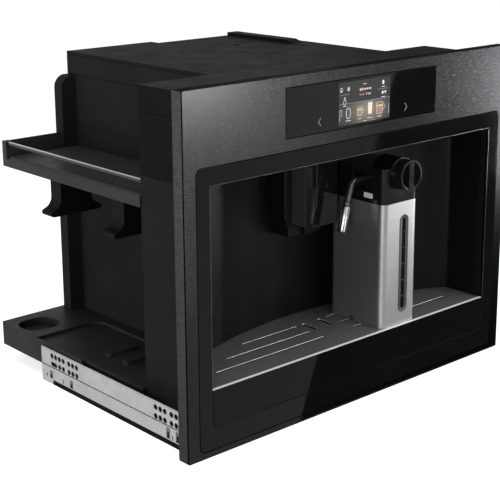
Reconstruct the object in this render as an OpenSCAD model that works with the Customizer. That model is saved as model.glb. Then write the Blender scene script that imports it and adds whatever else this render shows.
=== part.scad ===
// Built-in coffee machine on telescopic rails, in millimetres.
// X runs to the right, Y to the back and Z up. Y is measured from the front plane of the fascia,
// and placed() then centres the whole depth on the origin.

/* [Fascia] */
// Width of the steel fascia
fascia_w = 596; // [590:1:602]
// Height of the steel fascia
fascia_h = 455; // [452:1:462]
// Depth of the fascia with its side returns
fascia_d = 19; // [17:1:24]
// Thickness of the fascia's front plate
fascia_plate = 2.5; // [1.5:0.5:3]
// Thickness of the fascia's side returns
fascia_return = 2; // [1.5:0.5:3]
// Radius of the fascia's outer corners
fascia_r = 1.5; // [1:0.5:4]

/* [Glass bezel] */
// Width of the steel beside the glass bezel
bezel_side = 18.5; // [16:0.5:23]
// Height of the steel above the glass bezel
bezel_top = 93; // [92:1:98]
// Height of the bezel's lower edge above the fascia's lower edge
bezel_z = 9; // [6:1:12]
// Corner radius of the bezel
bezel_r = 8; // [4:1:14]
// Thickness of the glass
glass_t = 5; // [4:0.5:6]
// Shadow gap round the glass
glass_gap = 0.8; // [0.5:0.1:1.2]

/* [Niche] */
// Width of the glass beside the opening
frame_w = 20; // [17:0.5:24]
// Height of the glass above the opening
frame_top = 22; // [18:1:28]
// Step from the opening's edge in to the niche's side wall
jamb_step = 2.5; // [1.5:0.5:4]
// Depth of the niche at its middle
niche_depth = 134; // [126:1:140]
// Radius of the niche's curved back wall
niche_back_r = 529; // [480:1:620]
// Radius between the side walls and the back wall
niche_corner_r = 9; // [5:1:14]
// Thickness of the niche liner
liner_t = 2.5; // [2:0.5:3]
// Depth of the dark jamb in front of the liner
jamb_d = 11; // [9:1:13]

/* [Drip drawer] */
// Height of the tray's top face
tray_z = 86; // [80:1:92]
// Thickness of the tray plate
tray_t = 3; // [2:0.5:4]
// Height of the drawer's front
drawer_h = 48.6; // [44:0.1:52]
// Gap round the drawer's front
drawer_gap = 1; // [0.6:0.1:1.6]
// Radius of the drawer front's lower corners
drawer_r = 6; // [3:1:9]
// Wall of the drip tub
tub_wall = 2; // [1.5:0.5:3]
// Width of the drain slots
slot_w = 3.6; // [2.5:0.1:5]
// Distance between the rows of drain slots
slot_pitch = 26.4; // [22:0.1:28]
// Width of the used-grounds box
grounds_w = 150; // [110:1:170]
// Depth of the used-grounds box
grounds_d = 105; // [80:1:115]

/* [Display] */
// Width of the touch glass
display_w = 276; // [250:1:300]
// Height of the touch glass
display_h = 61.5; // [56:0.5:66]
// Height of the steel above the touch glass
display_drop = 14.5; // [10:0.5:18]
// Width of the lit screen
screen_w = 95; // [80:1:110]
// Height of the lit screen
screen_h = 55; // [46:1:56]
// Thickness of the touch glass
touch_t = 2; // [1.5:0.5:2.5]

/* [Front housing] */
// Distance of the housing's sides from the cabinet's walls
housing_in = 16; // [13:1:18]
// Depth of the housing's rear face behind the fascia's front
housing_back = 128; // [126:1:134]
// Height of the housing's lower edge
housing_z = 48; // [46:1:50]
// Distance of the housing's top below the fascia's top
top_drop = 10; // [5:1:15]
// Height of the housing's cap
cap_h = 33; // [27:1:40]
// Height of the housing's middle section
band_h = 79; // [70:1:85]
// Wall of the mouldings
wall = 3; // [2:0.5:3]
// Width and depth of the shadow lines between mouldings
reveal = 0.8; // [0.5:0.1:1.2]

/* [Body] */
// Distance of the left side panel from the middle
body_left = 151; // [140:1:160]
// Distance of the right side panel from the middle
body_right = 178; // [170:1:184]
// Thickness of the steel side panels
panel_t = 2; // [1.5:0.5:3]
// Depth of the body's rear face
body_back = 452; // [440:1:456]
// Thickness of the top lid plate
lid_t = 5; // [4:0.5:6]
// Depth of the rear panel
rear_d = 19; // [15:1:22]
// Reach of the rear panel's fin past the side panels
fin = 24; // [18:1:30]
// Radius of the fin's upper corner
fin_r = 18; // [10:1:22]

/* [Bean container] */
// Width of the bean flap
flap_w = 76; // [60:1:90]
// Length of the bean flap
flap_l = 170; // [150:1:174]
// Distance of the bean flap's hinge from the middle
flap_hinge_x = 137; // [125:1:140]
// Distance of the bean flap's rear edge from the body's rear face
flap_back = 34; // [34:1:44]
// Radius of the flap's hinge pins
flap_pin_r = 1; // [0.8:0.1:1.2]
// Height of the raised bar beside the flap
bar_h = 5; // [3:0.5:6]
// Length of the raised bar beside the flap
bar_l = 136; // [110:1:150]
// Depth of the bean container
hopper_h = 90; // [70:1:100]

/* [Side shelf] */
// Distance of the shelf's outer face from the side of the base
shelf_in = 10.5; // [5:0.5:20]
// Distance of the shelf's lower edge below the housing's top
shelf_drop = 153.5; // [147:0.5:160]
// Height of the shelf's outer band
shelf_band = 11.5; // [8:0.5:13]
// Height of the shelf from its lower edge to its floor
shelf_t = 16.5; // [14.5:0.5:20]
// Height of the rim above the shelf's floor
rim_h = 20; // [14:1:26]
// Thickness of the rim and its corner post
shelf_post = 10; // [8:1:13]
// Diameter of the retaining rod
rod_d = 5.6; // [4:0.1:7]
// Distance of the rod's axis below the rim's top
rod_drop = 3.6; // [3.6:0.1:6]

/* [Cord hooks] */
// Thickness of each hook
hook_t = 25; // [18:1:30]
// Height of a hook
hook_h = 53.5; // [45:0.5:60]
// Width of the stem of a hook
hook_stem = 50; // [40:1:56]
// Radius of the flare under the stem
hook_flare = 16; // [10:1:18]
// Distance of the front hook from the fascia's front
hook_front_y = 184; // [175:1:195]
// Distance between the two hooks
hook_pitch = 146; // [120:1:170]

/* [Base] */
// Gap between the base and each wall of the cabinet
base_gap = 3.5; // [2.5:0.5:7]
// Reach of the base behind the body
base_lip = 9; // [4:1:16]
// Height of the base's underside
base_z = 22; // [22:0.5:23]
// Height of the base's rear deck
deck_z = 57; // [55:1:60]
// Depth of the sunken floor in the deck
sunk = 4; // [2:1:5]
// Length of the raised rear deck
deck_rear = 92; // [84:1:98]
// Width of the ribs on the sunken floor
rib_w = 12; // [8:1:15]
// Length of the ribs on the sunken floor
rib_l = 50; // [40:1:60]
// Distance between the two ribs
rib_pitch = 40; // [30:1:60]
// Radius of the sunken floor's corners
sunk_r = 20; // [12:1:24]
// Width of the rim between the sunken floor and the body
sunk_rim = 21; // [16:1:26]
// Depth of the narrow stretch on each side of the base
waist_d = 7; // [3:1:9]
// Length of the narrow stretch
waist_l = 128; // [100:1:150]
// Depth of the oblong pocket in the rear deck
pocket_d = 11; // [8:1:12]
// Width of the oblong pocket
pocket_w = 57; // [46:1:60]
// Length of the oblong pocket
pocket_l = 53; // [46:1:60]

/* [Rails] */
// Overlap of the fascia on each side wall of the cabinet
fascia_lap = 18; // [16:0.5:20]
// Length of the rails
rail_len = 330; // [320:1:336]
// Distance of the rails' front ends from the fascia's front
rail_y = 21.5; // [21.5:0.5:25]
// Height of the rail brackets' upper edge
bracket_top = 51; // [50:1:52]
// Thickness of the bracket sheet
bracket_t = 1.5; // [1:0.1:1.5]
// Thickness of the black foot strips
foot_h = 7; // [5:0.5:7.5]
// Width of the foot strips and bracket feet
foot_w = 18; // [17:1:24]
// Sheet of the sliding channels
channel_t = 1.2; // [1:0.1:1.4]
// Running gap between the sliding channels
channel_gap = 0.4; // [0.3:0.05:0.5]
// Diameter of the bracket's screw holes
screw_d = 6.5; // [5:0.1:7]
// Distance between neighbouring screw holes
screw_pitch = 9.4; // [9:0.1:9.6]
// Height of the upper row of screw holes
screw_top_z = 42.5; // [41:0.5:44]
// Distance between the rows of screw holes
screw_row = 12; // [10:0.5:13]

/* [Coffee spout] */
// Width of the moving spout block
spout_w = 61; // [54:1:64]
// Depth of the moving spout block
spout_d = 28.6; // [26:0.1:32]
// Gap between the spout block and the niche's ceiling
spout_top_gap = 2; // [1:0.5:10]
// Distance of the block's front from the fascia's front
spout_y = 76; // [74:1:79]
// Height of the block's lower edge above the tray
spout_reach = 142; // [138:1:144]
// Radius of the block's lower side edges
spout_r = 7; // [4:1:10]
// Running gap between the moving pieces and what guides them
run_gap = 0.4; // [0.3:0.05:0.5]
// Bore of the two coffee nozzles
nozzle_bore = 4; // [3:0.5:5]

/* [Milk jug] */
// Distance of the jug's left side from the middle
jug_x = 46; // [40:1:48]
// Width of the jug
jug_w = 70; // [64:1:80]
// Depth of the jug
jug_d = 100; // [90:1:102]
// Distance of the jug's front from the fascia's front
jug_y = 5; // [3:1:8]
// Gap between the jug's lid and the niche's ceiling
jug_top_gap = 30.5; // [28:0.5:46]
// Height of the lid
lid_h = 48.5; // [44:0.5:50]
// Corner radius of the jug
jug_r = 10; // [6:1:14]
// Thickness of the steel sleeve
sleeve_t = 1.2; // [0.8:0.1:2]
// Width of the level window
window_w = 14; // [10:1:18]
// Height of the steel above the level window
window_top = 19.7; // [14:0.1:40]
// Diameter of the froth knob
knob_d = 42; // [36:1:46]
// Length of the froth knob
knob_l = 17; // [12:1:22]
// Height of the froth knob's axis above the lid's lower edge
knob_rise = 39; // [34:1:40]
// Radius of the knob's spindle
spindle_r = 4; // [3:0.5:5]
// Radial clearance of spindles and spigots
fit_gap = 0.05; // [0.03:0.01:0.1]

/* [Milk spout] */
// Diameter of the milk pipe
pipe_d = 9; // [7:0.5:10]
// Diameter of the chrome tip
tip_d = 11; // [10:0.5:13]
// Length of the chrome tip
tip_l = 34; // [26:1:38]
// Length of the pipe's lower arm
arm_l = 38; // [32:1:42]
// Lean of the milk pipe from the vertical
arm_lean = 19; // [10:1:25]

/* [Water tank] */
// Distance of the tank's outer wall from the side of the base
tank_in = 14.5; // [10:0.5:30]
// Gap between the tank and the fin behind it
tank_gap = 6; // [3:1:30]
// Height of the water tank
tank_h = 330; // [280:1:350]
// Wall of the water tank
tank_wall = 2.5; // [2:0.5:4]

/* [Hidden] */
$fn = 48;

// Colours of the real surfaces
steel_black = "#3a3a3d";
plastic_black = "#1d1d1f";
glass_black = "#0b0b0d";
zinc = "#aeb0b2";
chrome_grey = "#c9cbce";

eps = 0.01;
seat_gap = 0.3;

// Widths, from the fascia inwards
bezel_w = fascia_w - 2 * bezel_side;
opening_w = bezel_w - 2 * frame_w;
niche_w = opening_w - 2 * jamb_step;
rails_w = fascia_w - 2 * fascia_lap;
base_w = rails_w - 2 * base_gap;
housing_w = rails_w - 2 * housing_in;
shelf_x = base_w / 2 - shelf_in;

// Depths, from the fascia's front
base_back = body_back + base_lip;
knob_front_y = jug_y - knob_l;
y_mid = (base_back + knob_front_y) / 2;
flap_y = body_back - flap_back - flap_l;
deck_step_y = base_back - deck_rear;

// Heights, from the fascia's top downwards
bezel_h = fascia_h - bezel_z - bezel_top;
ceiling_z = bezel_z + bezel_h - frame_top;
display_z = fascia_h - display_drop - display_h;
housing_top = fascia_h - top_drop;
cap_line = housing_top - cap_h;
low_line = cap_line - band_h;
shelf_z = housing_top - shelf_drop;
shelf_floor_z = shelf_z + shelf_t;
shelf_rim_z = shelf_floor_z + rim_h;

// Outlines of the front
opening_z = tray_z - drawer_h - drawer_gap;
back_y = niche_depth - niche_back_r;
back_steps = 72;
back_step = 0.8;
side_x = niche_w / 2;
liner_floor_z = tray_z + run_gap;
flange_w = 12;
flange_t = 2;

// Heights of the body
cover_top = housing_top - lid_t;
sunk_z = deck_z - sunk;
deck_t = 8;
waist_back = housing_back + waist_l;
rib_x = base_w / 2 - 35;
rib_y = housing_back + 80;
rib_h = 6;
pocket_in = 5;
pocket_back = 19;
pocket_r = 22;
pocket_t = 2;
rear_y = body_back - rear_d;
front_in = fascia_d;
seam_x = 187;
seam_in = 8;
seam_l = 88;
seam_turn = 38;
nick_x = 7;
nick_w = 3;
bar_x = body_right - 37;
bar_w = 21;
bar_ramp = 18;
barrel_r = lid_t / 2 - 0.3;

// Retaining rod of the shelf
rod_x0 = -shelf_x + shelf_post / 2;
rod_z = shelf_rim_z - rod_drop;
rod_seat = 4;

// Vent slots and screws of the rear panel
vent_rows = 9;
vent_x = body_right - 105;
vent_z = 250;
vent_pitch = 12;
vent_l = 110;
vent_w = 4;
screw_in = 8;
screw_r = 1.6;
screw_head_r = 3.2;
screw_head_h = 1.8;

// Drip drawer
tub_z = tray_z - drawer_h + 1;
tub_gap = 3;
tub_tongue = 10;
grounds_y = niche_depth + liner_t + 3;
grounds_r = 12;
runner_w = 8;
first_row = 40.4;
row_in = 29.5;
row_ends = [for (cut = [38, 78, 128]) niche_w / 2 - cut];
finger_x = [-15.5, 14];
finger_l = 30;
finger_w = 6;

// Rails, measured inwards from the outer face of the bracket
channel_z = foot_h + bracket_t;
channel_in = 2.5;
channel_w = foot_w - 3;
channel_step = channel_t + channel_gap;
channel_h = base_z - channel_z - 3 * channel_t;
strip_back = rail_y + rail_len - 28;
line_z = 25.5;
line_w = 0.6;
line_d = 0.4;
tab_w = 2;
tab_h = 8;
screw_groups = [[325, 4], [283, 3], [88, 3], [56, 4]];

// Spout, jug and tank
spout_z = tray_z + spout_reach;
spout_h = ceiling_z - spout_top_gap - spout_z;
column_y = spout_y + spout_d + run_gap;
tongue_w = 20;
tongue_d = 6;
jug_z = tray_z + seat_gap;
lid_z = ceiling_z - jug_top_gap - lid_h;
sleeve_h = lid_z - jug_z;
knob_x = jug_x + jug_w / 2;
knob_z = lid_z + knob_rise;
boss_d = knob_d + 3;
boss_l = 34;
window_x = knob_x + 6;
window_foot = 17;
window_z = jug_z + window_foot;
window_h = sleeve_h - window_foot - window_top;
notch_y = jug_y + 0.57 * jug_d;
notch_r = 8;
spigot_r = 5;
spigot_l = 13;
spigot_z = lid_z + 22;
milk_bore = 2;
pipe_y = jug_y + 0.45 * jug_d;
pipe_z = lid_z + 30;
elbow_x = jug_x - 14;
pipe_reach = 34;
bend_r = 8;
tank_x = body_right + 4;
tank_y = housing_back + 4;
tank_w = base_w / 2 - tank_in - tank_x;
tank_l = rear_y - tank_gap - tank_y;
tank_z = deck_z + seat_gap;
tank_r = 8;
grip_l = 95;
grip_h = 34;
grip_d = 22;
grip_drop = 28;

// Inner parts
grinder_x = flap_hinge_x - flap_w / 2;
grinder_y = flap_y + flap_l / 2;
hopper_z = cover_top - hopper_h;
burr_cup_h = 46;
burr_cup_r = 38;
cup_wall = 5;
cup_floor = 6;
cup_z = hopper_z - burr_cup_h;
shaft_l = 22;
motor_r = 30;
motor_h = 95;
chamber_x = -20;
chamber_y = grounds_y + 65.5;
chamber_r = 25;
chamber_z = 150;
chamber_h = 90;
brew_h = 150;
brew_front = 35;
brew_back = 50;
press_rest = 40;
press_t = 22;
press_stem = 110;
heater_y = rear_y - 133;
heater_z = 210;
heater_l = 100;
heater_h = 80;
pump_x = -105;
pump_y = rear_y - 133;
pump_l = 70;
switch_x = -25;
inlet_x = -75;
inlet_z = 120;

// The part's own place: its depth is centred on the origin
module placed() {
    translate([0, -y_mid, 0]) children();
}

// A flat outline seen from the front, from depth y to y + d
module front(y, d) {
    translate([0, y + d, 0]) rotate([90, 0, 0]) linear_extrude(d) children();
}

// A flat outline seen from the side, whose first axis is Y, from x to x + w
module side(x, w) {
    translate([x, 0, 0]) rotate([90, 0, 90]) linear_extrude(w) children();
}

// A flat outline seen from above, from height z to z + h
module plan(z, h) {
    translate([0, 0, z]) linear_extrude(h) children();
}

// A box from its lowest to its highest corner
module block(low, high) {
    translate(low) cube(high - low);
}

// A rod along Y
module rod_y(x, z, y, l, r) {
    translate([x, y + l, z]) rotate([90, 0, 0]) cylinder(h = l, r = r);
}

// A rod along X
module rod_x(x, y, z, l, r) {
    translate([x, y, z]) rotate([0, 90, 0]) cylinder(h = l, r = r);
}

// A rectangle with round corners, from its lower left corner
module rounded(w, h, r) {
    translate([r, 0]) square([w - 2 * r, h]);
    translate([0, r]) square([w, h - 2 * r]);
    for (x = [r, w - r]) {
        for (y = [r, h - r]) {
            translate([x, y]) circle(r);
        }
    }
}

// A slot of length l and width w along the first axis, round its middle
module slot(l, w) {
    square([l - w, w], center = true);
    for (s = [-1, 1]) {
        translate([s * (l - w) / 2, 0]) circle(w / 2);
    }
}

// A piece and its mirror image on the other side of the machine
module both_sides() {
    children();
    mirror([1, 0, 0]) children();
}

// Outline of the bezel, grown by g
module bezel_outline(g) {
    translate([-bezel_w / 2 - g, bezel_z - g]) rounded(bezel_w + 2 * g, bezel_h + 2 * g, bezel_r + g);
}

// Outline of the opening in the bezel, with round lower corners, grown by g
module opening_outline(g) {
    w = opening_w + 2 * g;
    r = drawer_r + drawer_gap;
    h = ceiling_z - opening_z + 2 * g;
    translate([-w / 2, opening_z - g]) {
        rounded(w, 3 * r, r);
        translate([0, 2 * r]) square([w, h - 2 * r]);
    }
}

// Points of an arc from angle a0 to a1 in n steps
function arc(centre, r, a0, a1, n) = [
    for (i = [0 : n]) centre + r * [cos(a0 + (a1 - a0) * i / n), sin(a0 + (a1 - a0) * i / n)]
];

// Plan of the niche, grown by g, from depth y0 to its curved back
module niche_plan(g, y0) {
    fillet_x = side_x - niche_corner_r;
    fillet_y = back_y + sqrt(pow(niche_back_r - niche_corner_r, 2) - pow(fillet_x, 2));
    turn = atan2(fillet_y - back_y, fillet_x);
    polygon(concat(
        [[-side_x - g, y0], [side_x + g, y0]],
        arc([fillet_x, fillet_y], niche_corner_r + g, 0, turn, 8),
        arc([0, back_y], niche_back_r + g, turn + back_step, 180 - turn - back_step, back_steps),
        arc([-fillet_x, fillet_y], niche_corner_r + g, 180 - turn, 180, 8)
    ));
}

// Plan of the jug with walls moved inwards by g
module jug_plan(g) {
    translate([jug_x + g, jug_y + g]) rounded(jug_w - 2 * g, jug_d - 2 * g, jug_r - g);
}

// Cross-section of an upward channel of the rail, from its step inside the bracket
module channel(step, h) {
    inset = channel_in + step * channel_step;
    z = channel_z + step * channel_step;
    w = channel_w - 2 * step * channel_step;
    difference() {
        translate([inset, z]) square([w, h]);
        translate([inset + channel_t, z + channel_t]) square([w - 2 * channel_t, h]);
    }
}

// Carries a section of the left rail to its place along the cabinet wall
module along_rail(y, l) {
    front(y, l) translate([-rails_w / 2, 0]) children();
}

// Bracket with its foot, screw holes and the outer channel
module rail_bracket() {
    difference() {
        union() {
            along_rail(rail_y, rail_len) {
                translate([0, foot_h]) square([bracket_t, bracket_top - foot_h]);
                translate([0, foot_h]) square([foot_w, bracket_t]);
                channel(0, channel_h);
            }
            along_rail(strip_back + 1, rail_y + rail_len - strip_back - 1) square([bracket_t, foot_h + eps]);
        }
        bracket_holes();
        bracket_lines();
    }
}

// Two rows of screw holes at the ends of the bracket
module bracket_holes() {
    for (group = screw_groups) {
        for (i = [0 : group[1] - 1]) {
            for (row = [0, 1]) {
                y = group[0] - i * screw_pitch;
                rod_x(-rails_w / 2 - 1, y, screw_top_z - row * screw_row, bracket_t + 2, screw_d / 2);
            }
        }
    }
    translate([0, 0, screw_top_z - screw_row]) side(-rails_w / 2 - 1, bracket_t + 2) {
        translate([screw_groups[0][0] - screw_pitch / 2, 0]) slot(screw_pitch + screw_d, screw_d);
    }
    rod_x(-rails_w / 2 - 1, rail_y + rail_len - 12, foot_h + 4, bracket_t + 2, 2.2);
}

// Pressed line between the bracket's two halves and the slits for its tabs
module bracket_lines() {
    x = -rails_w / 2;
    y1 = rail_y + rail_len;
    block([x - 1, rail_y - 1, line_z - line_w / 2], [x + line_d, y1 + 1, line_z + line_w / 2]);
    for (y = [rail_y + 12, rail_y + 32, y1 - 54]) {
        block([x - 1, y, foot_h + bracket_t], [x + bracket_t + eps, y + tab_w, foot_h + tab_h]);
    }
}

module rail_bracket_left() {
    color(zinc) placed() rail_bracket();
}

module rail_bracket_right() {
    color(zinc) placed() mirror([1, 0, 0]) rail_bracket();
}

module rail_foot_strips() {
    color(plastic_black) placed() both_sides() {
        along_rail(rail_y, strip_back - rail_y) square([foot_w, foot_h]);
        along_rail(strip_back, rail_y + rail_len - strip_back) {
            translate([bracket_t + seat_gap, 0]) square([foot_w - bracket_t - seat_gap, foot_h]);
        }
    }
}

module rail_middle_channels() {
    color(zinc) placed() both_sides() {
        along_rail(rail_y, rail_len) channel(1, channel_h);
    }
}

module rail_inner_channels() {
    step = 2 * channel_step;
    z = channel_z + step;
    w = channel_w - 2 * step;
    color(zinc) placed() both_sides() along_rail(rail_y, rail_len) {
        translate([channel_in, base_z - channel_t]) square([channel_w, channel_t]);
        difference() {
            translate([channel_in + step, z]) square([w, base_z - z]);
            translate([channel_in + step + channel_t, z - eps]) {
                square([w - 2 * channel_t, base_z - z - 2 * channel_t]);
            }
        }
    }
}

// Deck beside the body, from the inner edge x_in to the base's side, with its sunken floor
module deck(x_in) {
    out = base_w / 2;
    w = out - x_in - sunk_rim + sunk_r;
    l = deck_step_y - housing_back + sunk_r;
    difference() {
        block([-out, housing_back, deck_z - deck_t], [-x_in, base_back, deck_z]);
        plan(sunk_z, sunk + 1) translate([-out - sunk_r, housing_back - sunk_r]) rounded(w, l, sunk_r);
        block([-out - 1, housing_back - 1, base_z], [-out + waist_d, waist_back, deck_z + 1]);
    }
}

// Oblong ribs and pocket of the left deck
module deck_ribs() {
    for (i = [0, 1]) {
        plan(sunk_z, rib_h) translate([-rib_x + rib_l / 2, rib_y + i * rib_pitch]) slot(rib_l, rib_w);
    }
}

// Runners on the base's floor that carry the drip drawer
module drawer_runners() {
    y0 = rail_y + 10;
    for (s = [-1, 1]) {
        translate([chamber_x + s * (grounds_w / 2 - runner_w), 0, 0]) runner(y0, grounds_y + grounds_d);
        translate([s * (opening_w / 2 - 2 * runner_w), 0, 0]) runner(y0, y0 + 30);
    }
}

// One runner between two depths
module runner(y0, y1) {
    block([-runner_w / 2, y0, base_z + wall - eps], [runner_w / 2, y1, tub_z - seat_gap]);
}

// Outline of the oblong pocket, grown by g
module pocket_outline(g) {
    translate([-base_w / 2 + pocket_in - g, deck_step_y + pocket_back - g]) {
        rounded(pocket_w + 2 * g, pocket_l + 2 * g, pocket_r + g);
    }
}

module base_pan() {
    out = base_w / 2;
    inner_left = body_left - wall;
    inner_right = body_right - wall;
    color(plastic_black) placed() difference() {
        union() {
            block([-out, rail_y, base_z], [out, base_back, base_z + wall]);
            both_sides() {
                block([-out, waist_back, base_z], [-out + wall, base_back, deck_z - 1]);
                block(
                    [-out + waist_d, housing_back, base_z],
                    [-out + waist_d + wall, waist_back + wall, deck_z - deck_t + 1]
                );
                block([-housing_w / 2, rail_y, base_z], [-housing_w / 2 + wall, housing_back, housing_z]);
            }
            block([-out, base_back - wall, base_z], [out, base_back, deck_z]);
            deck(inner_left);
            mirror([1, 0, 0]) deck(inner_right);
            deck_ribs();
            drawer_runners();
            plan(deck_z - pocket_d - pocket_t, pocket_d) pocket_outline(pocket_t);
        }
        plan(deck_z - pocket_d, pocket_d + 1) pocket_outline(0);
    }
}

// Plate at the back of the body, whose fins stand past the side panels
module rear_panel() {
    x0 = -body_left - fin;
    w = body_left + body_right + 2 * fin;
    h = cap_line - deck_z;
    color(plastic_black) placed() difference() {
        front(rear_y, rear_d) translate([x0, deck_z]) {
            rounded(w, h, fin_r);
            square([w, h - fin_r]);
        }
        front(rear_y - 1, rear_d - wall + 1) translate([-body_left, deck_z + wall]) {
            square([body_left + body_right, h - 2 * wall]);
        }
        for (i = [0 : vent_rows - 1]) {
            front(rear_y, rear_d + 1) translate([vent_x, vent_z + i * vent_pitch]) slot(vent_l, vent_w);
        }
        front(body_back - wall - 1, wall + 2) translate([inlet_x, inlet_z]) square([28, 22], center = true);
        front(body_back - wall - 1, wall + 2) translate([switch_x, inlet_z]) square([22, 28], center = true);
        screw_places() rod_y(0, 0, body_back - wall - 1, wall + 2, screw_r);
    }
}

// Places of the rear panel's screws
module screw_places() {
    for (x = [-body_left + screw_in, body_right - screw_in]) {
        for (z = [deck_z + 12, (deck_z + cap_line) / 2, cap_line - 12]) {
            translate([x, 0, z]) children();
        }
    }
}

module rear_screws() {
    color(zinc) placed() screw_places() {
        rod_y(0, 0, body_back, screw_head_h, screw_head_r);
        rod_y(0, 0, body_back - wall - 4, wall + 4 + eps, screw_r - fit_gap);
    }
}

module left_side_panel() {
    color(plastic_black) placed() {
        block([-body_left, housing_back, deck_z], [-body_left + panel_t, rear_y, cap_line]);
    }
}

module right_side_panel() {
    color(plastic_black) placed() {
        block([body_right - panel_t, housing_back, deck_z], [body_right, rear_y, cap_line]);
    }
}

// One ring of the front housing between two heights, with a shadow line of a given depth at its foot
module housing_ring(z0, z1, line) {
    half = housing_w / 2;
    difference() {
        block([-half, front_in, z0], [half, housing_back, z1]);
        block([-half + wall, front_in - 1, z0 - 1], [half - wall, housing_back - wall, z1 + 1]);
        block(
            [-body_left + wall, housing_back - wall - 1, z0 - 1],
            [body_right - wall, housing_back + 1, z1 + 1]
        );
        if (line > 0) {
            both_sides() {
                block([-half - 1, front_in - 1, z0 - 1], [-half + line, housing_back + 1, z0 + line]);
            }
        }
    }
}

module front_housing() {
    color(plastic_black) placed() housing_ring(housing_z, low_line, 0);
}

module housing_band() {
    color(plastic_black) placed() housing_ring(low_line, cap_line, reveal);
}

module housing_cap() {
    half = housing_w / 2;
    color(plastic_black) placed() difference() {
        union() {
            housing_ring(cap_line, housing_top, reveal);
            block([-half, front_in, housing_top - wall], [half, housing_back, housing_top]);
        }
        both_sides() {
            translate([-seam_x, housing_back - seam_in, housing_top - reveal]) {
                rotate([0, 0, -seam_turn]) cube([seam_l, reveal, reveal + 1]);
            }
        }
        block(
            [body_right + nick_x, housing_back - 2 * nick_w, cap_line],
            [body_right + nick_x + nick_w, housing_back + 1, housing_top + 1]
        );
    }
}

// Cover of the body below the lid, open at its front and underside
module top_cover() {
    color(plastic_black) placed() difference() {
        block([-body_left, housing_back, cap_line], [body_right, body_back, cover_top]);
        difference() {
            block(
                [-body_left + wall, housing_back - 1, cap_line - 1],
                [body_right - wall, body_back - wall, cover_top + 1]
            );
            block([0, rear_y - wall, cap_line - 2], [body_right, body_back, cover_top + 2]);
        }
        block([wall, rear_y, cap_line - 1], [body_right + 1, body_back + 1, cover_top + 1]);
        body_line(cap_line);
    }
}

// Shadow line along the left side of the body
module body_line(z) {
    block([-body_left - 1, housing_back - 1, z - 1], [-body_left + reveal, body_back + 1, z + reveal]);
}

module top_lid() {
    color(plastic_black) placed() difference() {
        union() {
            block([-body_left, housing_back, cover_top], [body_right, body_back, housing_top]);
            side(bar_x, bar_w) translate([rear_y, housing_top - eps]) {
                polygon([[0, 0], [0, bar_h], [-bar_l, bar_h], [-bar_l - bar_ramp, 0]]);
            }
        }
        block([wall, rear_y, cover_top - 1], [body_right + 1, body_back + 1, housing_top + 1]);
        body_line(cover_top);
        flap_opening();
        rod_y(flap_hinge_x, cover_top + lid_t / 2, flap_y - 5, flap_l + 10, flap_pin_r + fit_gap);
    }
}

// Opening that the bean flap closes
module flap_opening() {
    block(
        [flap_hinge_x - flap_w, flap_y - run_gap, cover_top - 1],
        [flap_hinge_x + barrel_r + run_gap, flap_y + flap_l + run_gap, housing_top + 1]
    );
}

module bean_flap() {
    axis_z = cover_top + lid_t / 2;
    dish_r = 11;
    dish_x = flap_hinge_x - flap_w + dish_r + 1;
    color(plastic_black) placed() difference() {
        union() {
            block(
                [flap_hinge_x - flap_w + run_gap, flap_y, axis_z - barrel_r],
                [flap_hinge_x, flap_y + flap_l, axis_z + barrel_r]
            );
            rod_y(flap_hinge_x, axis_z, flap_y, flap_l, barrel_r);
            rod_y(flap_hinge_x, axis_z, flap_y - 4, flap_l + 8, flap_pin_r);
        }
        translate([dish_x, flap_y + flap_l / 2, axis_z + barrel_r + dish_r - 2]) sphere(dish_r);
    }
}

// Moulded shelf beside the body, with a rim and a post at its back
module side_shelf() {
    front_y = housing_back;
    in_x = -body_left;
    fin_x = -body_left - fin;
    post_y = body_back - shelf_post;
    step = 3;
    lip = 5;
    band_z = shelf_z + shelf_band;
    color(plastic_black) placed() difference() {
        union() {
            block([-shelf_x, front_y, shelf_z], [in_x, rear_y, band_z]);
            block([-shelf_x, rear_y, shelf_z], [fin_x, body_back, band_z]);
            plan(band_z - eps, shelf_floor_z - band_z + eps) {
                translate([-shelf_x + lip, front_y]) square([shelf_x - body_left - lip, rear_y - front_y]);
            }
            rod_y(-shelf_x + lip, shelf_floor_z - lip, front_y, rear_y - front_y, lip);
            block([-shelf_x, post_y, band_z], [fin_x, body_back, shelf_rim_z - step]);
            block([-shelf_x, post_y + step, band_z], [fin_x, body_back - step, shelf_rim_z]);
            block([-shelf_x, post_y, band_z], [-shelf_x + shelf_post, body_back, shelf_rim_z]);
        }
        shelf_cell(front_y + wall, hook_front_y - 2 * wall);
        shelf_cell(hook_front_y + hook_t + 2 * wall, hook_front_y + hook_pitch - 2 * wall);
        shelf_cell(hook_front_y + hook_pitch + hook_t + 2 * wall, rear_y - wall);
        rod_y(rod_x0, rod_z, post_y - 1, rod_seat + 2, rod_d / 2 + fit_gap);
    }
}

// One hollow in the shelf's underside, between the seats of the hooks
module shelf_cell(y0, y1) {
    block([-shelf_x + wall, y0, shelf_z - 1], [-body_left - wall, y1, shelf_floor_z - 2 * wall]);
}

module shelf_rod() {
    l = body_back - shelf_post + rod_seat - housing_back;
    color(chrome_grey) placed() rod_y(rod_x0, rod_z, housing_back, l, rod_d / 2);
}

// Anchor-shaped hook that a cord is wound on, seen from the front
module hook_outline() {
    nose = 8;
    flare_h = nose + hook_flare + 0.5;
    x0 = -shelf_x;
    x1 = -shelf_x + 2 * hook_flare + hook_stem;
    z0 = shelf_z - hook_h;
    difference() {
        union() {
            translate([x0 + hook_flare, z0]) square([hook_stem, hook_h]);
            translate([x0 + nose / 2, z0]) square([x1 - x0 - nose, flare_h]);
            for (x = [x0 + nose / 2, x1 - nose / 2]) {
                translate([x, z0 + nose / 2]) circle(nose / 2);
            }
        }
        for (x = [x0, x1]) {
            translate([x, z0 + nose + hook_flare]) circle(hook_flare);
            translate([x - nose / 2, z0 + nose]) square([nose, flare_h]);
        }
    }
}

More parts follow.
